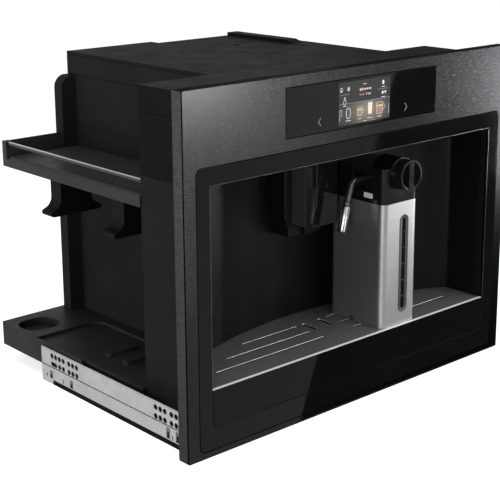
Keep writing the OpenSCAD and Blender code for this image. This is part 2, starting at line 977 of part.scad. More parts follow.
module cord_hook_front() {
    color(plastic_black) placed() front(hook_front_y, hook_t) hook_outline();
}

module cord_hook_rear() {
    color(plastic_black) placed() front(hook_front_y + hook_pitch, hook_t) hook_outline();
}

module fascia_frame() {
    w = fascia_w - 2 * fascia_return;
    color(steel_black) placed() difference() {
        front(0, fascia_d) translate([-fascia_w / 2, 0]) rounded(fascia_w, fascia_h, fascia_r);
        front(fascia_plate, fascia_d) {
            translate([-w / 2, fascia_return]) square([w, fascia_h - 2 * fascia_return]);
        }
        front(-1, fascia_plate + 2) bezel_outline(glass_gap);
        front(-1, fascia_plate + 2) display_outline(glass_gap);
    }
}

module display_outline(g) {
    translate([-display_w / 2 - g, display_z - g]) square([display_w + 2 * g, display_h + 2 * g]);
}

module bezel_glass() {
    color(glass_black) placed() front(0, glass_t) difference() {
        bezel_outline(0);
        opening_outline(0);
    }
}

// Plastic frame that carries the glass and lines the jamb
module bezel_carrier() {
    color(plastic_black) placed() front(glass_t, jamb_d - glass_t) difference() {
        bezel_outline(0);
        opening_outline(0);
    }
}

// Steel frame inside the fascia that holds it to the housing
module mounting_frame() {
    w = fascia_w - 2 * fascia_return;
    y0 = jamb_d + flange_t;
    g = liner_t + 1;
    niche_h = ceiling_z + liner_t - opening_z;
    rim_x = 20;
    rim_z = 8;
    color(zinc) placed() front(y0, fascia_d - y0) difference() {
        translate([-w / 2, fascia_return]) square([w, fascia_h - 2 * fascia_return]);
        translate([-opening_w / 2 - g, opening_z - g]) square([opening_w + 2 * g, niche_h + 2 * g]);
        translate([-display_w / 2 + rim_x, display_z + rim_z]) {
            square([display_w - 2 * rim_x, display_h - 2.5 * rim_z]);
        }
    }
}

module display_glass() {
    color(glass_black) placed() front(0, touch_t) display_outline(0);
}

// Screen behind the touch glass, on a tray that reaches the mounting frame
module display_module() {
    tray = 3;
    pad_w = 12;
    y0 = touch_t + tray;
    color(plastic_black) placed() {
        front(touch_t, tray) display_outline(-2);
        front(y0, jamb_d + flange_t - y0) {
            translate([-screen_w / 2, display_z + (display_h - screen_h) / 2]) square([screen_w, screen_h]);
            for (s = [-1, 1]) {
                translate([s * (display_w / 2 - pad_w) - pad_w / 2, display_z + 2]) {
                    square([pad_w, display_h - 4]);
                }
            }
        }
    }
}

// Circuit board on four pillars behind the mounting frame
module control_board() {
    w = 180;
    h = display_h;
    z = display_z - 4;
    t = 1.6;
    pillar_r = 3;
    pillar_l = 8;
    in = pillar_r + 1;
    y = fascia_d + pillar_l;
    chips = [[-40, 14, 40, 30, 8], [20, 10, 38, 20, 14], [-76, 20, 18, 32, 16]];
    color("#1f5a3a") placed() {
        block([-w / 2, y, z], [w / 2, y + t, z + h]);
        for (x = [-w / 2 + in, w / 2 - in]) {
            for (pz = [z + in, z + h - in]) {
                rod_y(x, pz, fascia_d, pillar_l + eps, pillar_r);
            }
        }
        for (c = chips) {
            block([c[0], y + t - eps, z + c[1]], [c[0] + c[2], y + c[4], z + c[1] + c[3]]);
        }
    }
}

module niche_liner() {
    g = liner_t;
    h = ceiling_z - liner_floor_z;
    color(plastic_black) placed() {
        difference() {
            plan(liner_floor_z, h + liner_t) niche_plan(g, jamb_d);
            plan(liner_floor_z - 1, h + 1) niche_plan(0, jamb_d - 1);
        }
        front(jamb_d, flange_t) difference() {
            translate([-side_x - flange_w, liner_floor_z]) square([2 * (side_x + flange_w), h + flange_w]);
            translate([-side_x - g / 2, liner_floor_z - 1]) square([2 * side_x + g, h + 1 + g / 2]);
        }
    }
}

// Fixed column that guides the spout, cut to the curve of the back wall
module spout_column() {
    left = spout_w / 2 + 5;
    bottom = spout_z - 15;
    color(plastic_black) placed() intersection() {
        union() {
            block([-left, column_y, bottom], [left - 8, niche_depth + 1, ceiling_z]);
            block([-tongue_w / 2, column_y - tongue_d, bottom], [tongue_w / 2, column_y + eps, ceiling_z]);
        }
        plan(bottom - 1, ceiling_z) niche_plan(0, jamb_d);
    }
}

// Narrow cover over the pipes beside the column
module spout_pipe_cover() {
    right = -spout_w / 2 - 5;
    y0 = column_y - 6;
    color(plastic_black) placed() intersection() {
        union() {
            block([right - 12, y0, spout_z + 13], [right, niche_depth + 1, ceiling_z]);
            block([right - 4, y0 + 6, spout_z + 2], [right, niche_depth + 1, spout_z + 14]);
        }
        plan(spout_z, ceiling_z - spout_z) niche_plan(0, jamb_d);
    }
}

// Socket on the back wall that the jug's spigot enters
module milk_dock() {
    y0 = jug_y + jug_d + seat_gap;
    color(plastic_black) placed() difference() {
        intersection() {
            union() {
                rod_y(knob_x, spigot_z, y0, niche_depth, 14);
                rod_y(knob_x, spigot_z, y0 + 8, niche_depth, 19);
            }
            plan(jug_z, ceiling_z - jug_z) niche_plan(0, jamb_d);
        }
        rod_y(knob_x, spigot_z, y0 - 1, spigot_l + 3, spigot_r + fit_gap);
    }
}

// Outline of the spout block from the front, with round lower edges
module spout_outline(g) {
    translate([-spout_w / 2 + g, spout_z + g]) {
        rounded(spout_w - 2 * g, 3 * spout_r, spout_r);
        translate([0, 2 * spout_r]) square([spout_w - 2 * g, spout_h - 2 * spout_r - 2 * g]);
    }
}

module spout_block() {
    color(glass_black) placed() difference() {
        front(spout_y, spout_d) spout_outline(0);
        block(
            [-tongue_w / 2 - run_gap, column_y - tongue_d - run_gap, spout_z - 1],
            [tongue_w / 2 + run_gap, spout_y + spout_d + 1, spout_z + spout_h + 1]
        );
        block([-14, spout_y + 5, spout_z - 1], [14, spout_y + spout_d - tongue_d - 3, spout_z + 16]);
        block([-11, spout_y - 1, spout_z + 28], [-9.6, spout_y + 0.8, spout_z + spout_h - 18]);
    }
}

// Two coffee nozzles on a bridge inside the spout block
module spout_nozzles() {
    y = spout_y + 12.5;
    color(chrome_grey) placed() difference() {
        union() {
            block([-14, spout_y + 5, spout_z + 12], [14, spout_y + spout_d - tongue_d - 3, spout_z + 16]);
            for (s = [-1, 1]) {
                translate([s * 8, y, spout_z + 1]) cylinder(h = 12, r = nozzle_bore / 2 + 1.5);
            }
        }
        for (s = [-1, 1]) {
            translate([s * 8, y, spout_z]) cylinder(h = 17, r = nozzle_bore / 2);
        }
    }
}

// Outline of the drawer's front, round at its lower corners
module drawer_outline() {
    w = opening_w - 2 * drawer_gap;
    translate([-w / 2, tray_z - drawer_h]) {
        rounded(w, 3 * drawer_r, drawer_r);
        translate([0, 2 * drawer_r]) square([w, drawer_h - 2 * drawer_r]);
    }
}

module drawer_front() {
    color(glass_black) placed() front(0, glass_t) drawer_outline();
}

// Tub under the tray plate
module drip_tub() {
    h = tray_z - tray_t - tub_z;
    color(plastic_black) placed() difference() {
        plan(tub_z, h) niche_plan(-tub_gap, glass_t);
        plan(tub_z + tub_wall, h) niche_plan(-tub_gap - tub_wall, glass_t + tub_wall);
    }
}

// Tray behind the tub that carries the grounds box
module grounds_carrier() {
    x0 = chamber_x - grounds_w / 2;
    x1 = chamber_x + grounds_w / 2;
    y1 = grounds_y + grounds_d;
    color(plastic_black) placed() difference() {
        block(
            [x0 - 2 * tub_wall, niche_depth - 4 * tub_gap, tub_z],
            [x1 + 2 * tub_wall, y1 + 1 + tub_wall, tub_z + tub_tongue]
        );
        plan(tub_z - 1, tub_tongue + 2) niche_plan(-tub_gap, glass_t);
        block(
            [x0 - tub_wall, grounds_y - tub_wall, tub_z + tub_wall],
            [x1 + tub_wall, y1 + 1, tub_z + tub_tongue + 1]
        );
    }
}

// Plate that cups stand on, with drain slots and two finger slots
module tray_plate() {
    z = tray_z - tray_t;
    color("#2a2a2c") placed() difference() {
        plan(z, tray_t) niche_plan(1, glass_t);
        plan(z - 1, tray_t + 2) {
            for (row = [0 : 2]) {
                for (s = [-1, 1]) {
                    translate([s * (row_in + row_ends[row]) / 2, first_row + row * slot_pitch]) {
                        slot(row_ends[row] - row_in, slot_w);
                    }
                }
            }
            for (x = finger_x) {
                translate([x, first_row + 1.55 * slot_pitch]) rotate(90) slot(finger_l, finger_w);
            }
        }
    }
}

module grounds_box() {
    z0 = tub_z + tub_wall;
    x0 = chamber_x - grounds_w / 2;
    w = grounds_w - 2 * tub_wall;
    l = grounds_d - 2 * tub_wall;
    color("#303033") placed() difference() {
        plan(z0, tray_z - 4 - z0) translate([x0, grounds_y]) rounded(grounds_w, grounds_d, grounds_r);
        plan(z0 + tub_wall, tray_z) {
            translate([x0 + tub_wall, grounds_y + tub_wall]) rounded(w, l, grounds_r - tub_wall);
        }
    }
}

// Outline of the level window, grown by g
module window_outline(g) {
    translate([window_x, window_z + window_h / 2]) rotate(90) slot(window_h + 2 * g, window_w + 2 * g);
}

// Brushed sleeve with the level window's slot and a drain notch
module jug_sleeve() {
    color("#b9bbbd") placed() difference() {
        plan(jug_z, sleeve_h) jug_plan(0);
        plan(jug_z + sleeve_t, sleeve_h) jug_plan(sleeve_t);
        front(jug_y - 1, 4) window_outline(0);
        rod_x(jug_x - 1, notch_y, jug_z - 2, 4, notch_r);
    }
}

// Inner container that holds the milk
module jug_container() {
    gap = sleeve_t + seat_gap;
    z0 = jug_z + sleeve_t;
    h = sleeve_h - sleeve_t;
    color("#55585c") placed() difference() {
        plan(z0, h) jug_plan(gap);
        plan(z0 + 9, h) jug_plan(gap + 2.5);
        rod_x(jug_x - 1, notch_y, jug_z - 2, 8, notch_r + 1);
    }
}

// Clear insert in the level window, with raised level marks
module jug_window() {
    recess = 0.2;
    mark_w = 6;
    mark_h = 0.8;
    y0 = jug_y + recess;
    color("#101012") placed() {
        front(y0, sleeve_t + seat_gap - recess) window_outline(-0.5);
        for (i = [1 : 5]) {
            translate([window_x - mark_w / 2, y0 - 0.15, window_z + i * window_h / 6 - mark_h / 2]) {
                cube([mark_w, 0.15 + eps, mark_h]);
            }
        }
    }
}

// Lid with the knob's boss, the milk pipe's pocket and the spigot at its back
module jug_lid() {
    pocket_y = pipe_y - 24;
    color(plastic_black) placed() difference() {
        union() {
            plan(lid_z, lid_h) jug_plan(0);
            plan(lid_z - 6, 6 + eps) jug_plan(sleeve_t + seat_gap + 2.5 + 0.2);
            rod_y(knob_x, knob_z, jug_y, boss_l, boss_d / 2);
            rod_y(knob_x, spigot_z, jug_y + jug_d - eps, spigot_l, spigot_r);
        }
        block([jug_x - 1, pocket_y, pipe_z - 14], [jug_x + 10, pocket_y + 36, pipe_z + 9]);
        block([jug_x - 1, jug_y + 20, lid_z + 5.5], [jug_x + 0.6, jug_y + 37, lid_z + 13]);
        rod_y(knob_x, knob_z, jug_y - 1, 13, spindle_r + fit_gap);
        rod_x(jug_x, pipe_y, pipe_z, 22, pipe_d / 2 + fit_gap);
        rod_y(knob_x, spigot_z, jug_y + jug_d - 30, spigot_l + 40, milk_bore);
    }
}

// Round knob with a grip bar, on a spindle in the lid
module froth_knob() {
    rim = 3;
    bar_w = 9;
    color(plastic_black) placed() {
        difference() {
            rod_y(knob_x, knob_z, knob_front_y, knob_l - seat_gap, knob_d / 2);
            difference() {
                rod_y(knob_x, knob_z, knob_front_y - 1, 10, knob_d / 2 - rim);
                block(
                    [knob_x - bar_w / 2, knob_front_y - 2, knob_z - knob_d],
                    [knob_x + bar_w / 2, knob_front_y + 10, knob_z + knob_d]
                );
            }
        }
        rod_y(knob_x, knob_z, jug_y - seat_gap - eps, 11, spindle_r);
    }
}

// Local frame of the milk pipe's arm, which leans outwards below the elbow
module on_arm() {
    translate([elbow_x, pipe_y, pipe_z]) rotate([0, arm_lean, 0]) children();
}

// Pipe that leaves the lid sideways and bends down into its leaning arm
module milk_pipe() {
    bend = 90 - arm_lean;
    tangent = bend_r * tan(bend / 2);
    sleeve = 0.4;
    color("#2c2c2f") placed() difference() {
        union() {
            rod_x(elbow_x + tangent - 1, pipe_y, pipe_z, pipe_reach - tangent + 1, pipe_d / 2);
            translate([elbow_x + tangent, pipe_y, pipe_z - bend_r]) rotate([90, 0, 0]) rotate([0, 0, 90]) {
                rotate_extrude(angle = bend) translate([bend_r, 0]) circle(pipe_d / 2 + sleeve);
            }
            on_arm() translate([0, 0, -arm_l]) cylinder(h = arm_l - tangent + 1, r = pipe_d / 2);
        }
        on_arm() translate([0, 0, -arm_l - 1]) cylinder(h = arm_l - tangent - 1, r = milk_bore);
    }
}

// Chrome tip on the end of the milk pipe, with a collar
module milk_tip() {
    color(chrome_grey) placed() on_arm() difference() {
        union() {
            translate([0, 0, -arm_l - tip_l]) cylinder(h = tip_l, r = tip_d / 2);
            translate([0, 0, -arm_l]) cylinder(h = 3, r = tip_d / 2);
        }
        translate([0, 0, -arm_l]) cylinder(h = 4, r = pipe_d / 2);
        translate([0, 0, -arm_l - tip_l - 1]) cylinder(h = tip_l + 2, r = milk_bore);
    }
}

// Container for beans under the flap, hung from the lid by its flange, with a funnel at its bottom
module bean_hopper() {
    t = 2;
    funnel = 42;
    mouth_r = 18;
    top_r = 31;
    flange = 10;
    in = 4;
    x0 = flap_hinge_x - flap_w + in;
    x1 = flap_hinge_x - in - 2;
    y0 = flap_y + in;
    y1 = flap_y + flap_l - in;
    color("#3a3a3c") placed() difference() {
        union() {
            block([x0, y0, hopper_z], [x1, y1, cover_top]);
            block([x0 - flange, y0 - flange, cover_top - 3], [x1 + flange + in, y1 + flange, cover_top]);
        }
        block([x0 + t, y0 + t, hopper_z + funnel], [x1 - t, y1 - t, cover_top + 1]);
        translate([(x0 + x1) / 2, grinder_y, hopper_z - 1]) {
            cylinder(h = funnel + 2, r1 = mouth_r, r2 = top_r);
        }
    }
}

// Grinder motor with its burr cup, on a bracket to the right side panel
module grinder() {
    arm_w = 40;
    arm_t = 8;
    color("#4a4a4d") placed() difference() {
        union() {
            translate([grinder_x, grinder_y, cup_z]) cylinder(h = burr_cup_h, r = burr_cup_r);
            translate([grinder_x, grinder_y, cup_z - motor_h]) cylinder(h = motor_h, r = motor_r);
            block(
                [grinder_x, grinder_y - arm_w / 2, cup_z - 30],
                [body_right - panel_t, grinder_y + arm_w / 2, cup_z - 30 + arm_t]
            );
        }
        translate([grinder_x, grinder_y, cup_z + cup_floor]) {
            cylinder(h = burr_cup_h, r = burr_cup_r - cup_wall);
        }
        translate([grinder_x, grinder_y, cup_z - shaft_l - 3]) cylinder(h = 40, r = spindle_r + fit_gap);
    }
}

// Cone burr on its shaft
module grinder_burr() {
    disc_r = burr_cup_r - cup_wall - 4;
    disc_t = 10;
    z = cup_floor + 1;
    color(zinc) placed() translate([grinder_x, grinder_y, cup_z]) {
        translate([0, 0, z]) cylinder(h = disc_t, r = disc_r);
        translate([0, 0, z + disc_t - eps]) cylinder(h = 22, r1 = disc_r - 3, r2 = 9);
        translate([0, 0, -shaft_l]) cylinder(h = shaft_l + z + 1, r = spindle_r);
    }
}

// Frame of the brewing unit, which stands over the grounds box
module brew_frame() {
    half = grounds_w / 2 + 8;
    y0 = chamber_y - brew_front;
    y1 = chamber_y + brew_back;
    top = chamber_z + brew_h;
    color("#44464a") placed() difference() {
        union() {
            for (s = [-1, 1]) {
                block(
                    [chamber_x + s * half - 2, y0, base_z + wall],
                    [chamber_x + s * half + 2, y1, top]
                );
            }
            block([chamber_x - half, y0, chamber_z], [chamber_x + half, y1, chamber_z + 5]);
            block([chamber_x - half, y0, top - 5], [chamber_x + half, y1, top]);
            translate([chamber_x, chamber_y, chamber_z]) cylinder(h = chamber_h, r = chamber_r + 5);
        }
        translate([chamber_x, chamber_y, chamber_z - 1]) cylinder(h = chamber_h + 2, r = chamber_r);
        translate([chamber_x, chamber_y, top - 10]) cylinder(h = 20, r = spindle_r + 2 + fit_gap);
    }
}

// Piston that presses the ground coffee in the chamber
module brew_piston() {
    color("#b0b2b5") placed() translate([chamber_x, chamber_y, chamber_z]) {
        translate([0, 0, press_rest]) cylinder(h = press_t, r = chamber_r - fit_gap);
        translate([0, 0, press_rest + press_t - eps]) cylinder(h = press_stem, r = spindle_r + 2);
    }
}

// Flat water heater on the left side panel
module thermoblock() {
    x = -body_left + panel_t;
    w = 26;
    fin_h = 8;
    fin_w = 6;
    pitch = 16;
    y1 = heater_y + heater_l;
    z1 = heater_z + heater_h;
    color("#8f9194") placed() {
        block([x, heater_y, heater_z], [x + w, y1, z1]);
        for (i = [0 : 5]) {
            y = heater_y + fin_w + i * pitch;
            block([x + w - eps, y, heater_z + 4], [x + w + fin_h, y + fin_w, z1 - 4]);
        }
        for (z = [heater_z + 15, z1 - 15]) {
            rod_y(x + w / 2, z, y1 - 1, 14, 5);
        }
    }
}

// Water pump on two feet on the base
module water_pump() {
    z = base_z + wall + 30;
    foot_w = 18;
    foot_l = 8;
    color("#6b4a2e") placed() {
        rod_y(pump_x, z, pump_y, pump_l, 22);
        rod_y(pump_x, z, pump_y + pump_l - 1, 28, 12);
        rod_y(pump_x, z, pump_y - foot_w, foot_w + 1, 6);
        for (y = [pump_y + 10, pump_y + 50]) {
            block([pump_x - foot_w, y, base_z + wall], [pump_x + foot_w, y + foot_l, z - 10]);
        }
    }
}

// Plan of the tank with walls moved inwards by g
module tank_outline(g) {
    translate([tank_x + g, tank_y + g]) rounded(tank_w - 2 * g, tank_l - 2 * g, tank_r - g);
}

// Finger grip sunk in the tank's outer wall, with its walls moved inwards by g
module tank_grip(g) {
    x = tank_x + tank_w;
    y = tank_y + (tank_l - grip_l) / 2;
    z = tank_z + tank_h - grip_drop;
    block([x - grip_d + g, y + g, z - grip_h + g], [x + (g > 0 ? 1 : 0), y + grip_l - g, z - g]);
}

// Clear tank in the right-hand bay, pulled out sideways by its finger grip
module water_tank() {
    w = tank_wall;
    color([0.6, 0.65, 0.7, 0.5]) placed() difference() {
        plan(tank_z, tank_h) tank_outline(0);
        difference() {
            plan(tank_z + w, tank_h) tank_outline(w);
            tank_grip(0);
        }
        tank_grip(w);
    }
}

module tank_cover() {
    plug_h = 5;
    color(plastic_black) placed() {
        plan(tank_z + tank_h, 6) tank_outline(0);
        plan(tank_z + tank_h - plug_h, plug_h + eps) tank_outline(tank_wall + seat_gap);
    }
}

// Appliance inlet with its three blades
module power_inlet() {
    color(plastic_black) placed() {
        difference() {
            union() {
                front(body_back, 2.5) translate([inlet_x, inlet_z]) square([44, 30], center = true);
                front(body_back - 22, 22 + eps) translate([inlet_x, inlet_z]) square([27, 21], center = true);
            }
            front(body_back - 18, 24) translate([inlet_x, inlet_z]) square([23, 16], center = true);
        }
        for (p = [[-7, -2], [0, 3], [7, -2]]) {
            block(
                [inlet_x + p[0] - 1, body_back - 19, inlet_z + p[1] - 2],
                [inlet_x + p[0] + 1, body_back - 4, inlet_z + p[1] + 2]
            );
        }
    }
}

module switch_frame() {
    color(plastic_black) placed() difference() {
        union() {
            front(body_back, 2.5) translate([switch_x, inlet_z]) square([26, 32], center = true);
            front(body_back - 16, 16 + eps) translate([switch_x, inlet_z]) square([21, 27], center = true);
        }
        front(body_back - 13, 18) translate([switch_x, inlet_z]) square([17, 23], center = true);
        rod_x(switch_x - 12, body_back - 3, inlet_z, 24, 1.5 + fit_gap);
    }
}

// Rocker of the main switch, pressed in at its lower end
module rocker_switch() {
    tilt = 8;
    color("#232326") placed() translate([switch_x, body_back - 3, inlet_z]) rotate([tilt, 0, 0]) {
        intersection() {
            translate([-8, -6, -10.6]) cube([16, 11, 21.2]);
            rod_x(-8, 0, 0, 16, 10.8);
        }
        rod_x(-10, 0, 0, 20, 1.5);
    }
}

rail_bracket_left();
rail_bracket_right();
rail_foot_strips();
rail_middle_channels();
rail_inner_channels();
base_pan();
rear_panel();
rear_screws();
left_side_panel();
right_side_panel();
front_housing();
housing_band();
housing_cap();
top_cover();
top_lid();
bean_flap();
side_shelf();
shelf_rod();
cord_hook_front();
cord_hook_rear();
fascia_frame();
bezel_glass();
bezel_carrier();
mounting_frame();
display_glass();
display_module();
control_board();
niche_liner();
spout_column();
spout_pipe_cover();
milk_dock();
spout_block();
spout_nozzles();
drawer_front();
drip_tub();
grounds_carrier();
tray_plate();
grounds_box();
jug_sleeve();
jug_container();
jug_window();
jug_lid();
froth_knob();
milk_pipe();
milk_tip();
bean_hopper();
grinder();
grinder_burr();
brew_frame();
brew_piston();
thermoblock();
water_pump();
water_tank();
tank_cover();
power_inlet();
switch_frame();
rocker_switch();
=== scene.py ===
import math

import bmesh
import bpy
from mathutils import Matrix, Vector


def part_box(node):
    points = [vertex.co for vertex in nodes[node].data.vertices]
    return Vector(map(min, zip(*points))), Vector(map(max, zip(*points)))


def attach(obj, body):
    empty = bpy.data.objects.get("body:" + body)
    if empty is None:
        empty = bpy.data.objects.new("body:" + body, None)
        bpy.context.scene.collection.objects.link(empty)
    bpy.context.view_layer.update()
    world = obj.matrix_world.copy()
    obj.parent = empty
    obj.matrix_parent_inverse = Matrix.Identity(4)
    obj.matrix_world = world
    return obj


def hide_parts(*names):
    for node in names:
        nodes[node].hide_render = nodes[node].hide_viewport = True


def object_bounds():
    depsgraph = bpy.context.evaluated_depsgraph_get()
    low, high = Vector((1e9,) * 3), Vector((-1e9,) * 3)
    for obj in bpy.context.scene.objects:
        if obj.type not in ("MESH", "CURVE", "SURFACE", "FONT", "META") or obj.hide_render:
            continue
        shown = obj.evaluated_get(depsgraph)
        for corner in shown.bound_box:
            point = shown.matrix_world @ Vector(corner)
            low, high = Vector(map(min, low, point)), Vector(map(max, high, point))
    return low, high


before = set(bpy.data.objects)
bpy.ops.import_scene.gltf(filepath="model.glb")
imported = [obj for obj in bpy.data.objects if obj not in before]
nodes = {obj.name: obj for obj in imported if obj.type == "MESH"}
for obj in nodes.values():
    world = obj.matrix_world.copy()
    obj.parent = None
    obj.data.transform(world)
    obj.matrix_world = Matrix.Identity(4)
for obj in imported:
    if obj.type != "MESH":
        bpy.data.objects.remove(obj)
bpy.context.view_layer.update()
scene = bpy.context.scene

# Points are given in millimetres as in the CAD source, with the depth y counted from the
# fascia's front plane. Materials work in metres of the shared frame.
MM = 1000
FRONT_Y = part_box("fascia_frame")[0].y


def P(x, y, z):
    """A point of the CAD source in the shared frame."""
    return Vector((x / MM, FRONT_Y + y / MM, z / MM))


# ---------------------------------------------------------------- node trees
class Nodes:
    """A node tree and short ways to add to it."""

    def __init__(self, tree):
        self.tree = tree

    def node(self, kind, **values):
        n = self.tree.nodes.new(kind)
        for k, v in values.items():
            setattr(n, k, v)
        return n

    def link(self, a, b):
        self.tree.links.new(a, b)

    def put(self, value, socket):
        """Link a socket to the given one, or set it to a number or a colour."""
        if isinstance(value, bpy.types.NodeSocket):
            self.link(value, socket)
        else:
            socket.default_value = (*value, 1) if isinstance(value, tuple) else value

    def place(self):
        return self.node("ShaderNodeTexCoord").outputs["Object"]

    def noise(self, scale, detail=3, rough=0.5, stretch=(1, 1, 1)):
        m = self.node("ShaderNodeMapping")
        m.inputs["Scale"].default_value = stretch
        self.link(self.place(), m.inputs["Vector"])
        n = self.node("ShaderNodeTexNoise")
        for key, value in (("Scale", scale), ("Detail", detail), ("Roughness", rough)):
            n.inputs[key].default_value = value
        self.link(m.outputs["Vector"], n.inputs["Vector"])
        return n.outputs["Fac"]

    def math(self, op, a, b=None):
        m = self.node("ShaderNodeMath", operation=op)
        self.put(a, m.inputs[0])
        if b is not None:
            self.put(b, m.inputs[1])
        return m.outputs[0]

    def above(self, value, limit):
        return self.math("GREATER_THAN", value, limit)

    def below(self, value, limit):
        return self.math("LESS_THAN", value, limit)

    def absolute(self, value):
        return self.math("ABSOLUTE", value)

    def near(self, value, centre, reach):
        return self.below(self.absolute(self.math("SUBTRACT", value, centre)), reach)

    def both(self, a, b):
        return self.math("MULTIPLY", a, b)

    def either(self, a, b):
        return self.math("MAXIMUM", a, b)

    def blend(self, a, share_a, b, share_b):
        return self.math("ADD", self.math("MULTIPLY", a, share_a), self.math("MULTIPLY", b, share_b))

    def remap(self, value, a, b, lo, hi):
        """The value's stretch from a to b, laid out from lo to hi."""
        m = self.node("ShaderNodeMapRange")
        for key, v in (("From Min", a), ("From Max", b), ("To Min", lo), ("To Max", hi)):
            m.inputs[key].default_value = v
        self.link(value, m.inputs["Value"])
        return m.outputs["Result"]

    def mix(self, fac, a, b):
        m = self.node("ShaderNodeMix", data_type="RGBA")
        for value, key in ((fac, 0), (a, 6), (b, 7)):
            self.put(value, m.inputs[key])
        return m.outputs[2]

    def between(self, value, a, b, dark, light):
        """A colour that goes from dark to light as the value goes from a to b."""
        return self.mix(self.remap(value, a, b, 0, 1), dark, light)

    def mix_shaders(self, fac, a, b):
        m = self.node("ShaderNodeMixShader")
        for i, value in enumerate((fac, a, b)):
            self.link(value, m.inputs[i])
        return m.outputs[0]

    def white(self, kind, strength):
        """A white Emission or Background."""
        n = self.node(kind)
        self.put((1, 1, 1), n.inputs["Color"])
        self.put(strength, n.inputs["Strength"])
        return n.outputs[0]


class Material(Nodes):
    """A material's node tree with its Principled shader."""

    def __init__(self, name):
        self.mat = bpy.data.materials.new(name)
        self.mat.use_nodes = True
        super().__init__(self.mat.node_tree)
        self.inputs = self.tree.nodes["Principled BSDF"].inputs

    def set(self, **values):
        """Set the shader's sockets: Base_Color stands for "Base Color"."""
        for key, value in values.items():
            self.put(value, self.inputs[key.replace("_", " ")])

    def base(self):
        return self.inputs["Base Color"].links[0].from_socket

    def paint(self, mask, colour):
        """Lay a colour over the base colour where the mask is 1."""
        self.set(Base_Color=self.mix(mask, self.base(), colour))

    def separate(self, vector):
        s = self.node("ShaderNodeSeparateXYZ")
        self.link(vector, s.inputs[0])
        return s.outputs

    def position(self):
        return self.separate(self.place())

    def normal(self):
        return self.separate(self.node("ShaderNodeNewGeometry").outputs["True Normal"])

    def bump(self, height, strength, distance, edge):
        """Relief over softly rounded edges."""
        bevel = self.node("ShaderNodeBevel", samples=4)
        bevel.inputs["Radius"].default_value = edge
        b = self.node("ShaderNodeBump")
        for key, value in (("Strength", strength), ("Distance", distance), ("Height", height),
                           ("Normal", bevel.outputs["Normal"])):
            self.put(value, b.inputs[key])
        self.link(b.outputs["Normal"], self.inputs["Normal"])


def grey(value, tint=(1, 1, 1)):
    return tuple(value * t for t in tint)


# ---------------------------------------------------------------- kinds of material
PLASTIC_TINT, METAL_TINT, GLASS_TINT = (1, 1, 1.03), (1, 1, 1.02), (1, 1, 1.04)
TONE_SPAN = (0.36, 0.64)  # the stretch of the brushed tone that spreads over both colours
GRAIN_DEPTH = 0.00006     # height of a plastic's grain
SHEET_EDGE = 0.0006       # rounding of a sheet's edges
BRUSH_TURN = 0.25         # turns the stretched highlights of brushed metal a quarter round


def plastic(name, dark, light, rough, spec=0.25, grain=1800, strength=0.35, edge=0.0007,
            cloud=9.0, spread=0.07, tint=PLASTIC_TINT):
    """Moulded plastic with a fine eroded grain, slightly uneven gloss and soft edges."""
    t = Material(name)
    fine, smear = t.noise(grain, 2, 0.6), t.noise(28, 3, 0.6)
    gloss = t.blend(fine, 0.35, smear, 0.65)
    t.set(Base_Color=t.between(t.noise(cloud, 4, 0.55), 0.32, 0.68, grey(dark, tint), grey(light, tint)),
          Roughness=t.remap(gloss, 0.35, 0.65, rough - spread, rough + spread),
          Specular_IOR_Level=spec)
    t.bump(fine, strength, GRAIN_DEPTH, edge)
    return t


def metal(name, dark, light, rough, brush=(60, 60, 900), aniso=0.4, depth=0.00003, strength=0.25,
          cloud=5.0, spread=0.06, metallic=1.0):
    """Brushed sheet: short strokes in tone, gloss and relief, along the brushing."""
    t = Material(name)
    stroke = t.noise(1.0, 3, 0.62, brush)
    wide = t.noise(1.0, 2, 0.5, tuple(s * 0.35 for s in brush))
    strokes = t.blend(stroke, 0.6, wide, 0.4)
    t.tone = t.blend(strokes, 0.8, t.noise(cloud, 3, 0.5), 0.2)
    t.set(Base_Color=t.between(t.tone, *TONE_SPAN, grey(dark, METAL_TINT), grey(light, METAL_TINT)),
          Roughness=t.remap(strokes, 0.35, 0.65, rough - spread, rough + spread),
          Metallic=metallic, Anisotropic=aniso, Anisotropic_Rotation=BRUSH_TURN)
    if aniso:
        t.set(Tangent=t.node("ShaderNodeTangent", direction_type="RADIAL", axis="Z").outputs[0])
    t.bump(strokes, strength, depth, SHEET_EDGE)
    return t


def glass(name, value, spec, rough=0.04, edge=0.0005):
    """Black back-painted glass with faint wiping marks."""
    t = Material(name)
    wipe, dust = t.noise(6, 4, 0.6, (1, 1, 2.5)), t.noise(900, 2, 0.7)
    dark, light = grey(value * 0.8, GLASS_TINT), grey(value * 1.25, GLASS_TINT)
    t.set(Base_Color=t.between(wipe, 0.3, 0.7, dark, light),
          Roughness=t.remap(t.blend(wipe, 0.8, dust, 0.2), 0.35, 0.65, rough * 0.7, rough * 1.5),
          Specular_IOR_Level=spec)
    t.bump(t.noise(14, 2, 0.4), 0.02, 0.0002, edge)
    return t


def clear(name, colour, rough):
    """Clear acrylic with a faint haze."""
    t = Material(name)
    haze = t.noise(40, 3, 0.6)
    t.set(Base_Color=t.between(haze, 0.3, 0.7, colour, tuple(min(1, c * 1.06) for c in colour)),
          Roughness=t.remap(haze, 0.3, 0.7, rough * 0.7, rough * 1.4),
          Transmission_Weight=1.0, IOR=1.49, Specular_IOR_Level=0.5)
    t.bump(t.noise(1400, 2, 0.5), 0.05, 0.00004, 0.0006)
    return t


def glow(name, colour):
    """A lit, finely dotted colour of the screen."""
    t = Material(name)
    dots = t.noise(700, 2, 0.5)
    t.set(Emission_Color=t.between(dots, 0.3, 0.7, tuple(v * 0.88 for v in colour), colour),
          Emission_Strength=1.0,
          Base_Color=t.between(dots, 0.3, 0.7, grey(0.01), grey(0.02)),
          Roughness=0.3)
    return t


